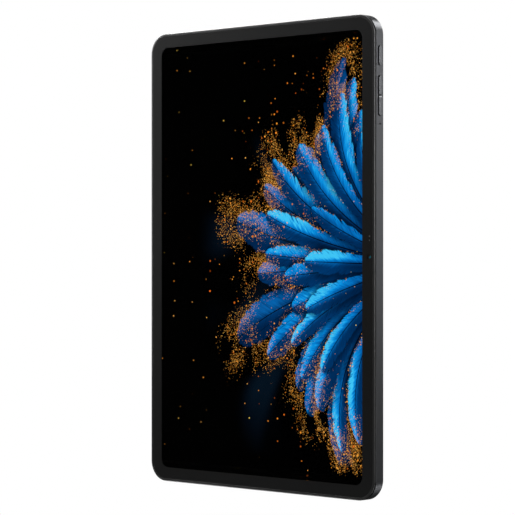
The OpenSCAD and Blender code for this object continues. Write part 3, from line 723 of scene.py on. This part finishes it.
def display_rim(material, dark):
    """The rim round the glass: a crowned lip that tucks in behind, a groove whose faces are painted black as
    shade, and the inner flange.
    """
    lip_back = FRONT_Y + LIP_T
    crown_w = RIM_W - GLASS_GAP - LIP_INNER_R
    profile = [(RIM_W - GLASS_GAP, FRONT_Y + SHELF_DEPTH), (RIM_W - GLASS_GAP, FRONT_Y + LIP_INNER_R)]
    profile += [(crown_w + px, FRONT_Y + LIP_INNER_R - py)
                for px, py in arc(0, 0, LIP_INNER_R, 0, 90, 3)[1:-1]]
    profile += [(crown_w * (1 + px), FRONT_Y + CROWN_H * (1 - py)) for px, py in arc(0, 0, 1, 90, 180, 12)]
    profile += [(LIP_TUCK * (1 - px), FRONT_Y + CROWN_H + (LIP_T - CROWN_H) * py)
                for px, py in arc(0, 0, 1, 0, 90, 6)[1:]]
    profile += [(GROOVE_D, lip_back), (GROOVE_D, SHELL_FRONT_Y),
                (FLANGE_INSET, SHELL_FRONT_Y), (FLANGE_INSET, RIM_HI.y), (OPENING_INSET, RIM_HI.y),
                (OPENING_INSET, FRONT_Y + SHELF_DEPTH)]
    # The lip's back, the groove's floor and the face behind the groove take the black material: painted shade
    # for the groove.
    neck = profile.index((GROOVE_D, lip_back))
    rim = sweep("glass_rim", rounded_outline(BODY_W, BODY_H, CORNER_R), profile, front, material, ring=True,
                other=dark, other_rows=(neck - 1, neck, neck + 1))
    pockets = []
    for node in ("front_camera", "light_sensor", "upper_microphone"):
        low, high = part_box(node)
        centre = (low + high) / 2
        size = high - low
        outline = rounded_outline(size.x + POCKET_GAP, size.z + POCKET_GAP, POCKET_GAP,
                                  (centre.x, centre.z), 2)
        front_end = SHELL_FRONT_Y if node == "upper_microphone" else GLASS_HI.y
        pockets.append(straight_cutter("pocket", outline, front, front_end, RIM_HI.y + MM))
    notch = circle_outline(NOTCH_R, (NOTCH_X, GLASS_HI.z + NOTCH_OUT), 20)
    pockets.append(straight_cutter("notch", notch, front, FRONT_Y - MM, RIM_HI.y + MM))
    cut(rim, pockets)
    return dress(flat_normals(rim), "chassis", "rim_plastic", "display_frame")


def cover_glass(border, window):
    """The glass: a bevelled pane with a black border, and clear spots for the camera and the sensor."""
    bevel = arc(0, 0, GLASS_BEVEL, 180, 90, 4)
    rows = [(0, GLASS_HI.y)] + [(GLASS_BEVEL + px, FRONT_Y + GLASS_BEVEL - py) for px, py in bevel]
    spots = [circle_outline(LENS_SPOT_R, LENS_AT, 40)]
    spots += [circle_outline(SENSOR_SPOT_R, (LENS_AT[0], SENSOR_MID + side_z), 24)
              for side_z in (-SENSOR_SPOT_Z, SENSOR_SPOT_Z)]
    bm = bmesh.new()

    def ring(samples, inset, y):
        return [bm.verts.new(front(cx + nx * (r - inset), cy + ny * (r - inset), y))
                for cx, cy, nx, ny, r in samples]

    def edges_of(loop):
        pairs = zip(loop, loop[1:] + loop[:1])
        return [bm.edges.get(pair) or bm.edges.new(pair) for pair in pairs]

    samples = rounded_outline(GLASS_W, GLASS_H, GLASS_R, steps=GLASS_CORNER_STEPS)
    loops = [ring(samples, inset, y) for inset, y in rows]
    for low, high in zip(loops, loops[1:]):
        for i in range(len(low)):
            j = (i + 1) % len(low)
            bm.faces.new((low[i], low[j], high[j], high[i]))
    window_faces = []
    for outline, y in ((loops[-1], FRONT_Y), (loops[0], GLASS_HI.y)):
        inner = [ring(rounded_outline(SCREEN_W, SCREEN_H, SCREEN_R), 0, y)]
        inner += [ring(spot, 0, y) for spot in spots]
        edges = edges_of(outline)
        for loop in inner:
            edges += edges_of(loop)
        bmesh.ops.triangle_fill(bm, use_beauty=True, edges=edges, normal=(0, -1, 0))
        for loop in inner:
            face = bm.faces.get(loop) or bm.faces.new(loop)
            window_faces.append(face)
    for face in window_faces:
        face.material_index = 1
    bmesh.ops.recalc_face_normals(bm, faces=bm.faces)
    mesh = bpy.data.meshes.new("front_glass")
    bm.to_mesh(mesh)
    bm.free()
    mesh.materials.append(border)
    mesh.materials.append(window)
    glass = bpy.data.objects.new("front_glass", mesh)
    bpy.context.scene.collection.objects.link(glass)
    smooth(glass)
    return dress(flat_normals(glass), "chassis", "cover_glass", "cover_glass")


# ---- Keys ----


def key_profile(back_x, face_x, round_r, steps=5):
    """A key's side profile, from its back to its rounded face."""
    return [(0, back_x)] + [(round_r - px, face_x - round_r + py)
                            for px, py in arc(0, 0, round_r, 0, 90, steps)]


def plunger_profile(key_back):
    """A plunger's side profile, from its chamfered tip to just inside the key."""
    return [(PLUNGER_CHAMFER, PLUNGER_TIP_X), (0, PLUNGER_TIP_X + PLUNGER_CHAMFER), (0, key_back + JOINED)]


def power_button(material):
    """The power button: a round-ended bar on its inner flange, with the plunger behind."""
    flange_back = POWER_FLANGE_X
    flange_front = flange_back + KEY_FLANGE_T
    over = -KEY_FLANGE_OVER
    profile = [(KEY_W / 2 - PLUNGER_R * 0.1, flange_back), (over, flange_back), (over, flange_front)]
    profile += key_profile(flange_front, KEY_FACE_X, KEY_ROUND)
    outline = stadium(POWER_LEN, KEY_W, (POWER_Z, KEY_Y), 12)
    bar = sweep("power_key_cap", outline, profile, side, material)
    plunger = sweep("power_plunger", circle_outline(PLUNGER_R, (POWER_Z, KEY_Y), 24),
                    plunger_profile(flange_back), side, material)
    join(bar, plunger)
    return dress(flat_normals(bar), "power_key", "housing_aluminium", "power_button")


def volume_rocker(material):
    """The volume rocker: a long bar with a shallow saddle at its middle, rocking on a pin behind it."""
    outline = stadium(VOLUME_LEN, KEY_W, (VOLUME_Z, KEY_Y), 12)
    bar = sweep("volume_key_cap", outline, key_profile(ROCKER_BACK_X, KEY_FACE_X, KEY_ROUND), side, material)
    saddle_x = KEY_FACE_X + WAIST_R - WAIST_DEPTH
    saddle = straight_cutter("saddle", circle_outline(WAIST_R, (saddle_x, VOLUME_Z), 64), front,
                             KEY_Y - KEY_W, KEY_Y + KEY_W)
    cut(bar, [saddle])
    for end in (-1, 1):
        at = (VOLUME_Z + end * ROCKER_PLUNGER_Z, KEY_Y)
        plunger = sweep("rocker_plunger", circle_outline(PLUNGER_R, at, 24),
                        plunger_profile(ROCKER_BACK_X), side, material)
        join(bar, plunger)
    lug = sweep("rocker_lug", rounded_outline(LUG_LEN, KEY_W, LUG_ROUND, (VOLUME_Z, KEY_Y), 3),
                [(0, PIN_X - PIN_R - LUG_WALL), (0, ROCKER_BACK_X + JOINED)], side, material)
    bore = straight_cutter("pin_bore", circle_outline(PIN_R + PIN_GAP, (PIN_X, VOLUME_Z), 32), front,
                           KEY_Y - KEY_W, KEY_Y + KEY_W)
    cut(lug, [bore])
    join(bar, lug)
    return dress(flat_normals(bar), "volume_key", "housing_aluminium", "volume_rocker")


# ---- Cameras, flash and port ----


def spun_metal(name, at):
    """Metal turned on a lathe: fine rings about an axis."""
    material, tree, shader = new_material(name)
    x, y, z = object_position(tree)
    dx = x - at[0] / MM
    dz = z - at[1] / MM
    radius = (dx * dx + dz * dz).sqrt()
    rings = noise(tree, vector(tree, radius * 9.0, y * 9.0), 1.0, 2.0)
    tree.links.new(blend(tree, rings, SHELL_DARK, rgb(0.16, 0.163, 0.17)), shader.inputs["Base Color"])
    feed(tree, rings * 0.10 + 0.22, shader.inputs["Roughness"])
    shader.inputs["Metallic"].default_value = 1.0
    bump(tree, shader, rings, 0.000004)
    return material


def rear_camera_ring():
    """The ring round the rear camera, with a polished chamfer and a seat for its window."""
    seat_r = WINDOW_R + HOLE_GAP
    profile = [(CAMERA_BORE_R, RING_LO.y), (CAMERA_STUB_R, RING_LO.y), (CAMERA_STUB_R, 0), (CAMERA_R, 0),
               (CAMERA_R, CAMERA_OUT - CAMERA_CHAMFER), (CAMERA_R - CAMERA_CHAMFER, CAMERA_OUT),
               (seat_r + 0.1 * MM, CAMERA_OUT), (seat_r, CAMERA_OUT - 0.1 * MM), (seat_r, CAMERA_SEAT_Y),
               (CAMERA_BORE_R, CAMERA_SEAT_Y)]
    polished = smooth_metal("polished_chamfer", rgb(0.42, 0.43, 0.45), 0.16, (1, 1, 1))
    ring = lathe("camera_ring", CAMERA_AT, profile, spun_metal("spun_ring", CAMERA_AT), ring=True,
                 other=polished, other_rows=(4,), steps=96)
    return dress(flat_normals(ring), "chassis", "housing_aluminium", "rear_camera_ring")


def rear_camera(black):
    """The rear camera: its block, and a stepped barrel that narrows to the domed front lens."""
    profile = [(BARREL_R, CAMERA_BODY_Y), (BARREL_R, -BARREL_CHAMFER), (BARREL_R - BARREL_CHAMFER, 0)]
    for i in range(BARREL_STEPS):
        radius = BARREL_STEP_R - i * BARREL_STEP_IN
        y = -i * BARREL_STEP_DEPTH
        profile += [(radius, y), (radius - BARREL_STEP_SLOPE, y - BARREL_STEP_WALL)]
    barrel = lathe("rear_camera_barrel", CAMERA_AT, profile, black)
    size = CAMERA_BODY_HI.x - CAMERA_BODY_LO.x
    block = sweep("rear_camera_block", rounded_outline(size, size, 0.5 * MM, CAMERA_AT, 4),
                  [(0, CAMERA_BODY_LO.y), (0, CAMERA_BODY_Y + 0.05 * MM)], front, black)
    join(barrel, block)
    dress(flat_normals(barrel), "chassis", "black_plastic", "rear_camera")
    # The lens's base colour paints its glint as well as its coating's tint.
    tint_with_painted_glint = lens_tint_and_painted_glint("rear_lens_tint_and_painted_glint", rgb(0.03, 0.02, 0.09), rgb(0.02, 0.10, 0.13),
                           [c / MM for c in CAMERA_AT], 1.8)
    return dome("rear_camera_lens", CAMERA_AT, REAR_LENS_R, REAR_LENS_Y, REAR_LENS_BULGE, tint_with_painted_glint)


def dome(name, at, radius, y, height, material):
    """A shallow lens that bulges by height from its edge at y."""
    rows = 8
    profile = [(radius, y - math.copysign(0.1 * MM, height))]
    for i in range(rows + 1):
        a = math.pi / 2 * i / rows
        profile.append((max(radius * math.cos(a), 0.02 * MM), y + height * math.sin(a)))
    lens = lathe(name, at, profile, material, steps=48)
    return dress(lens, "chassis", "lens_glass")


def flash_window(material):
    """The flash window: a clear disc moulded with fine rings."""
    profile = [(FLASH_R, FLASH_LO.y), (FLASH_R, -FLASH_EDGE), (FLASH_R - FLASH_EDGE, 0)]
    radius = FLASH_R - FLASH_BORDER
    while radius > FLASH_PITCH:
        profile += [(radius, 0), (radius, -FLASH_EDGE), (radius - 0.8 * FLASH_PITCH, 0)]
        radius -= FLASH_PITCH
    window = lathe("ringed_flash_window", FLASH_AT, profile, material)
    return dress(window, "chassis", "clear_plastic", "flash_window")


def front_camera(black):
    """The front camera's lens: a dark rim and a coated dome that sits below the glass."""
    radius = (FRONT_LENS_HI.x - FRONT_LENS_LO.x) / 2
    y = FRONT_LENS_LO.y
    bore_r = FRONT_LENS_BORE * radius
    profile = [(radius, FRONT_LENS_HI.y), (radius, y), (FRONT_LENS_FACE * radius, y),
               (bore_r, y + 0.1 * MM), (bore_r, FRONT_LENS_HI.y)]
    rim = lathe("front_lens_rim", LENS_AT, profile, black, ring=True, steps=48)
    dress(rim, "chassis", "lens_glass", "front_camera_lens")
    # The dome's base colour paints its teal glint as well as its coating's tint.
    tint_with_painted_glint = lens_tint_and_painted_glint("front_lens_tint_and_painted_glint", rgb(0.02, 0.14, 0.30), rgb(0.03, 0.30, 0.34),
                           [c / MM for c in LENS_AT], 0.8)
    dome("front_lens_dome", LENS_AT, FRONT_LENS_DOME * radius, y + FRONT_DOME_IN, -FRONT_DOME_SAG,
         tint_with_painted_glint)


def usb_port(metal, black):
    """The USB-C receptacle: a shell with a rolled lip, and a tongue with gold contacts on both faces."""
    width = USB_HI.x - USB_LO.x
    thickness = USB_HI.y - USB_LO.y
    profile = [(0, USB_HI.z), (0, USB_LO.z + USB_LIP), (USB_LIP, USB_LO.z), (USB_WALL - USB_LIP, USB_LO.z),
               (USB_WALL, USB_LO.z + USB_LIP), (USB_WALL, USB_HI.z)]
    shell = sweep("usb_c_rolled_shell", stadium(width, thickness, (0, PORT_Y), 16), profile, below, metal,
                  ring=True)
    dress(flat_normals(shell), "chassis", "steel", "usb_c_shell")
    frame["nodes"]["usb_c_tongue"].data.materials[0] = black
    gold = grained("contact_gold", rgb(0.75, 0.52, 0.18), rgb(0.85, 0.60, 0.22), 4.0, 0.25, metallic=1.0)
    verts, faces = [], []
    for face in (-1, 1):
        for i in range(CONTACT_COUNT):
            x = (i - (CONTACT_COUNT - 1) / 2) * CONTACT_PITCH
            low = Vector((x - CONTACT_W / 2, PORT_Y + face * TONGUE_HALF_T, TONGUE_LO.z + CONTACT_INSET))
            high = Vector((x + CONTACT_W / 2, low.y + face * CONTACT_T, low.z + CONTACT_LEN))
            start = len(verts)
            verts += [(a, b, c) for a in (low.x, high.x) for b in (low.y, high.y) for c in (low.z, high.z)]
            faces += [tuple(start + k for k in quad) for quad in
                      ((0, 1, 3, 2), (4, 6, 7, 5), (0, 4, 5, 1), (2, 3, 7, 6), (0, 2, 6, 4), (1, 5, 7, 3))]
    contacts = clean(make_object("usb_contacts", verts, faces, gold))
    dress(contacts, "chassis", "steel")


# ---- Screen picture ----


# Everything in the picture is in millimetres on the panel: x to the right, z up, both from its middle.
FAN_X, FAN_Z = 112, -4
FAN_R = 104
PLUME = ((0.0, rgb(0.0, 0.003, 0.015)), (0.3, rgb(0.0, 0.035, 0.14)), (0.6, rgb(0.001, 0.14, 0.47)),
         (0.82, rgb(0.003, 0.30, 0.78)), (1.0, rgb(0.05, 0.56, 0.92)))
GRAINS = ((0.0, rgb(0.18, 0.03, 0.0)), (0.25, rgb(0.70, 0.14, 0.01)), (0.5, rgb(1.0, 0.36, 0.03)),
          (0.75, rgb(1.0, 0.50, 0.11)), (1.0, rgb(1.0, 0.74, 0.10)))


def ramp(tree, amount, stops):
    """A colour from a row of (place, colour) stops."""
    node = tree.nodes.new("ShaderNodeValToRGB")
    elements = node.color_ramp.elements
    while len(elements) < len(stops):
        elements.new(1.0)
    for element, (place, colour) in zip(elements, stops):
        element.position = place
        element.color = colour
    feed(tree, amount, node.inputs[0])
    return node.outputs[0]


def node_group(name, inputs, outputs, build):
    """A group of nodes that is built once and used many times."""
    tree = bpy.data.node_groups.new(name, "ShaderNodeTree")
    for direction, sockets in (("INPUT", inputs), ("OUTPUT", outputs)):
        for label in sockets:
            kind = "NodeSocketColor" if label == "colour" else "NodeSocketFloat"
            tree.interface.new_socket(label, in_out=direction, socket_type=kind)
    entry = tree.nodes.new("NodeGroupInput")
    results = build(tree, *plain_values(tree, entry.outputs, inputs))
    end = tree.nodes.new("NodeGroupOutput")
    for result, target in zip(results, end.inputs):
        feed(tree, result, target)
    return tree


def plain_values(tree, sockets, labels):
    """Wraps sockets as values, except the colours."""
    return [socket if label == "colour" else Value(tree, socket) for socket, label in zip(sockets, labels)]


def use_group(tree, group, outputs, *values):
    """Uses a group of nodes on the given values and gives back its outputs."""
    node = tree.nodes.new("ShaderNodeGroup")
    node.node_tree = group
    for value, target in zip(values, node.inputs):
        feed(tree, value, target)
    return plain_values(tree, node.outputs, outputs)


def plume_row(tree, colour, dust, turn, reach, pitch, start, length, width, light, seed):
    """A row of plumes laid side by side over what is painted already, at the polar place (turn, reach)."""
    place = turn / pitch + start
    number = place.math("FLOOR")
    first, second, third = random_parts(tree, number + seed)
    reach_full = (first * 0.30 + 0.82) * length
    t = reach / reach_full
    middle = place - number - 0.5 + (second - 0.5) * 0.22
    off = middle * pitch * reach
    rounded = (1.0 - t.power(7.0)).math("MAXIMUM", 0.0001).sqrt()
    half = (third * 0.35 + 0.82) * width * (t.step(0.2, 0.85) * 0.55 + 0.45) * rounded
    out = off.abs()
    barb = reach - out * 1.1
    hair = noise(tree, vector(tree, barb * 0.8, off * 0.10, number * 7.3 + seed), 1.0, 4.0, 0.75)
    tuft = noise(tree, vector(tree, barb * 0.16, off.math("SIGN"), number * 3.1 + seed), 1.0, 1.0)
    edge = out / half + (hair - 0.5) * 0.55 + (tuft - 0.5) * 0.7
    body = (1.0 - edge.step(0.93, 1.05)) * (1.0 - t.step(0.985, 1.0))
    shadow = (1.0 - edge.step(0.9, 1.9)) * 0.65
    painted = blend(tree, shadow, colour, grey(0.0))
    lit = (off / half).step(-0.5, 0.7)
    gleam = noise(tree, vector(tree, reach * 0.035, off * 0.09, number * 5.7 + seed), 1.0, 1.0)
    tone = (lit * 0.58 + 0.24) * (hair * 1.5 + 0.25) * (gleam * 1.5 + 0.30) * light
    tone = tone * (t.step(0.30, 0.80) * 0.72 + 0.30)
    split = (hair - 0.53).step(0.0, 0.08) * (out / half).step(0.35, 0.9) * 0.7
    tone = tone * (1.0 - split)
    quill = (out / (1.35 - t)).step(0.30, 0.62)
    skin = blend(tree, quill, grey(0.0), ramp(tree, tone, PLUME))
    painted = blend(tree, body, painted, skin)
    tip = (1.0 - (t - 0.99).abs().step(0.02, 0.16)) * (1.0 - (out / width).step(0.2, 1.5))
    fringe = (1.0 - (off / half - 0.9).abs().step(0.05, 0.40)) * t.step(0.35, 0.8) * (1.0 - t.step(1.0, 1.1))
    dust = dust * (1.0 - body * 0.85) + (tip * 0.7 + fringe * 0.6) * (first * 1.1 + 0.15) * (1.0 - body * 0.5)
    return painted, dust


def strewn(tree, colour, x, z, scale, chance, radius, spread, hue_low, hue_high):
    """Strews round grains where chance is high; their radius varies by spread."""
    node = tree.nodes.new("ShaderNodeTexVoronoi")
    node.voronoi_dimensions = "2D"
    node.inputs["Scale"].default_value = 1.0
    tree.links.new(vector(tree, x * scale, z * scale), node.inputs["Vector"])
    parts = tree.nodes.new("ShaderNodeSeparateColor")
    tree.links.new(node.outputs["Color"], parts.inputs[0])
    pick, size, hue = [Value(tree, out) for out in parts.outputs]
    grain = 1.0 - (Value(tree, node.outputs["Distance"]) / scale - size * spread - radius).step(-0.15, 0.08)
    there = (chance - pick).step(0.0, 0.03)
    tint = ramp(tree, hue * (hue_high - hue_low) + hue_low, GRAINS)
    return [blend(tree, grain * there * (size * 0.6 + 0.4), colour, tint)]


def screen_picture(name):
    """A generic picture: a fan of blue plumes on black, with gold dust at their tips."""
    material, tree, shader = new_material(name)
    shader.inputs["Base Color"].default_value = grey(0.0)
    shader.inputs["Specular IOR Level"].default_value = 0.0
    shader.inputs["Emission Strength"].default_value = 1.0
    x, y, z = object_position(tree)
    across = FAN_X - x
    up = z - FAN_Z
    reach = (across * across + up * up).sqrt()
    turn = up.math("ARCTAN2", across) / ((reach / FAN_R).power(2.0) * 0.36 + 0.64)
    row = node_group("plume row", ("colour", "dust", "turn", "reach", "pitch", "start", "length", "width",
                                   "light", "seed"), ("colour", "dust"), plume_row)
    colour, dust = grey(0.0), 0.0
    for pitch, start, length, width, light, seed in (
            (0.41, 0.10, 124, 10.5, 0.55, 3.0), (0.38, 0.60, 115, 10.0, 0.80, 31.0),
            (0.37, 0.27, 108, 9.5, 0.92, 57.0), (0.37, 0.77, 102, 9.0, 1.05, 83.0),
            (0.41, 0.45, 93, 8.5, 1.12, 111.0)):
        colour, dust = use_group(tree, row, ("colour", "dust"), colour, dust, turn, reach, pitch, start,
                                 length, width, light, seed)
    margin = z.abs().step(104.0, 112.0)
    colour = blend(tree, margin, colour, grey(0.0))
    fingers = noise(tree, vector(tree, turn * 5.0, reach * 0.012, 9.0), 1.0, 1.0)
    haze = (1.0 - (reach / FAN_R - 1.05).abs().step(0.05, 0.50)) * fingers.step(0.48, 0.70)
    haze = haze * (1.0 - turn.abs().step(0.35, 0.75))
    colour = blend(tree, haze * 0.8 * (1.0 - margin), colour, rgb(0.004, 0.016, 0.035), "ADD")
    clumps = noise(tree, vector(tree, turn * 9.0, reach * 0.06, 3.0), 1.0, 3.0)
    dust = dust * clumps.step(0.36, 0.62) * (1.0 - z.abs().step(112.0, 118.0))
    far = (1.0 - (reach / FAN_R - 1.12).abs().step(0.05, 0.45)) * clumps.step(0.35, 0.65)
    strew = node_group("strewn", ("colour", "x", "z", "scale", "chance", "radius", "spread", "hue low",
                                  "hue high"), ("colour",), strewn)
    for scale, chance, radius, spread, low, high in (
            (0.09, clumps.step(0.30, 0.75), 0.15, 0.25, 0.5, 1.0), (0.16, far * 0.5, 0.25, 0.45, 0.0, 0.5),
            (0.42, dust * 0.55 + far * 0.12, 0.22, 0.32, 0.15, 0.65), (0.9, dust * 0.6, 0.15, 0.20, 0.3, 0.8),
            (1.3, dust * 0.8, 0.12, 0.14, 0.4, 0.85), (2.1, dust * 0.9, 0.10, 0.10, 0.4, 0.85)):
        colour, = use_group(tree, strew, ("colour",), colour, x, z, scale, chance, radius, spread, low, high)
    tree.links.new(colour, shader.inputs["Emission Color"])
    return material


def screen_panel(material):
    """The display panel, whose front face is the lit picture."""
    outline = rounded_outline(PANEL_HI.x - PANEL_LO.x, PANEL_HI.z - PANEL_LO.z, SCREEN_R)
    panel = sweep("lit_panel", outline, [(0, PANEL_HI.y), (0, PANEL_LO.y)], front, material)
    return dress(panel, "chassis", "display", "display_panel")


# ---- Building ----

FINISH = finishes()
NODE_SLOT = {part["node"]: part["material_slot"] for part in frame["record"]["subparts"]}
for name, node in frame["nodes"].items():
    node.data.materials.clear()
    node.data.materials.append(FINISH[NODE_SLOT[name]])

# The black plastic passed here and to the rim doubles as painted shade in the groove.
rear_housing(FINISH["housing_aluminium"], FINISH["black_plastic"])
display_rim(FINISH["rim_plastic"], FINISH["black_plastic"])
cover_glass(printed_border("printed_border"), FINISH["cover_glass"])
screen_panel(screen_picture("screen_picture"))
frame["nodes"]["optical_adhesive"].data.materials[0] = clear_glass("clear_bond", 0.0)
# The keys wear a lighter copy of the housing's anodised aluminium: painted light that stands in for their
# brighter highlight.
key_metal_painted_lighter = anodised("key_metal_painted_lighter", rgb(0.125, 0.128, 0.134), rgb(0.145, 0.148, 0.155))
power_button(key_metal_painted_lighter)
volume_rocker(key_metal_painted_lighter)
rear_camera_ring()
rear_camera(FINISH["black_plastic"])
flash_window(FINISH["clear_plastic"])
front_camera(FINISH["black_plastic"])
usb_port(FINISH["steel"], FINISH["black_plastic"])
frame["nodes"]["light_sensor"].data.materials[0] = grained("sensor_face", grey(0.3), grey(0.4), 6.0, 0.5)
weave = woven_wire("acoustic_weave")
for name, node in frame["nodes"].items():
    if name.startswith("mesh_"):
        node.data.materials[0] = weave

# ---- Camera ----

CAMERA_AZIMUTH = math.radians(42.95)
CAMERA_DISTANCE = 1172.7 * MM
CAMERA_LENS = 148.54
CAMERA_SENSOR = 36
AIM = Vector((0, FRONT_Y, 0))


def photo_camera():
    """A level camera at the height of the screen's middle."""
    data = bpy.data.cameras.new("photo_camera")
    data.lens = CAMERA_LENS
    data.sensor_width = CAMERA_SENSOR
    data.clip_start = 0.01
    camera = bpy.data.objects.new("photo_camera", data)
    bpy.context.scene.collection.objects.link(camera)
    away = Vector((math.sin(CAMERA_AZIMUTH), -math.cos(CAMERA_AZIMUTH), 0))
    camera.location = AIM + CAMERA_DISTANCE * away
    camera.rotation_euler = (math.pi / 2, 0, CAMERA_AZIMUTH)
    bpy.context.scene.camera = camera


# ---- Studio ----

STUDIO_GREY = 0.03
FLOOR_GREY = 0.35
FLOOR_SIZE = 6.0
FLOOR_GAP = 0.2 * MM
# Name, azimuth and elevation in degrees, distance, width and height in metres, and watts.
LAMPS = (
    ("left_fill", -66, 15, 0.8, 0.16, 0.6, 0.65),
    ("left_high", -68, 36, 0.8, 0.3, 0.3, 1.5),
    ("front_strip", 22, 14, 0.9, 0.16, 0.5, 2.5),
    ("overhead", -20, 62, 0.9, 0.5, 0.3, 2),
    ("camera_side", 52, 0, 0.9, 0.12, 0.7, 0.4),
    ("right_key", 112, 15, 0.9, 0.5, 0.6, 7),
    ("corner_key", 162, 39, 0.9, 0.35, 0.3, 2.2),
    ("top_key", -108, 42, 0.7, 0.3, 0.3, 11),
    ("low_fill", -66, -42, 0.8, 0.2, 0.2, 1.3),
    ("low_back", 122, -44, 0.9, 0.4, 0.4, 4),
    ("back_fill", 225, 60, 1.3, 0.7, 0.7, 12),
)


def softbox(name, azimuth, elevation, distance, width, height, watts):
    """A rectangular lamp that looks at the origin. Azimuth 0 is in front of the screen, 90 on the right."""
    data = bpy.data.lights.new(name, "AREA")
    data.shape = "RECTANGLE"
    data.size = width
    data.size_y = height
    data.energy = watts
    lamp = bpy.data.objects.new(name, data)
    bpy.context.scene.collection.objects.link(lamp)
    a = math.radians(azimuth)
    e = math.radians(elevation)
    away = Vector((math.sin(a) * math.cos(e), -math.cos(a) * math.cos(e), math.sin(e)))
    lamp.location = away * distance
    lamp.rotation_euler = away.to_track_quat("Z", "Y").to_euler()
    lamp.visible_camera = False


def camera_switch(tree, seen, otherwise, output):
    """Gives the camera one shader and every other ray the other."""
    mix = tree.nodes.new("ShaderNodeMixShader")
    path = tree.nodes.new("ShaderNodeLightPath")
    tree.links.new(path.outputs["Is Camera Ray"], mix.inputs[0])
    tree.links.new(otherwise.outputs[0], mix.inputs[1])
    tree.links.new(seen.outputs[0], mix.inputs[2])
    tree.links.new(mix.outputs[0], output.inputs["Surface"])


def backdrop():
    """White where the camera looks, and a dim grey studio for everything else."""
    world = bpy.data.worlds.new("studio")
    bpy.context.scene.world = world
    world.use_nodes = True
    tree = world.node_tree
    tree.nodes.clear()
    output = tree.nodes.new("ShaderNodeOutputWorld")
    white = tree.nodes.new("ShaderNodeBackground")
    dim = tree.nodes.new("ShaderNodeBackground")
    white.inputs["Color"].default_value = grey(1.0)
    dim.inputs["Color"].default_value = grey(STUDIO_GREY)
    camera_switch(tree, white, dim, output)


def white_floor():
    """The table top: white to the camera, grey through clear pieces and unseen by all other rays."""
    material = bpy.data.materials.new("floor")
    material.use_nodes = True
    tree = material.node_tree
    tree.nodes.clear()
    output = tree.nodes.new("ShaderNodeOutputMaterial")
    lit = tree.nodes.new("ShaderNodeEmission")
    lit.inputs["Color"].default_value = grey(1.0)
    paint = tree.nodes.new("ShaderNodeBsdfDiffuse")
    paint.inputs["Color"].default_value = grey(FLOOR_GREY)
    camera_switch(tree, lit, paint, output)
    half = FLOOR_SIZE / 2
    z = SHELL_LO.z - FLOOR_GAP
    corners = [(-half, -half, z), (half, -half, z), (half, half, z), (-half, half, z)]
    floor = make_object("floor", corners, [(0, 1, 2, 3)], material)
    floor.visible_diffuse = False
    floor.visible_glossy = False
    floor.visible_shadow = False


bpy.context.scene.view_settings.view_transform = "Standard"
backdrop()
white_floor()
for lamp in LAMPS:
    softbox(*lamp)
photo_camera()
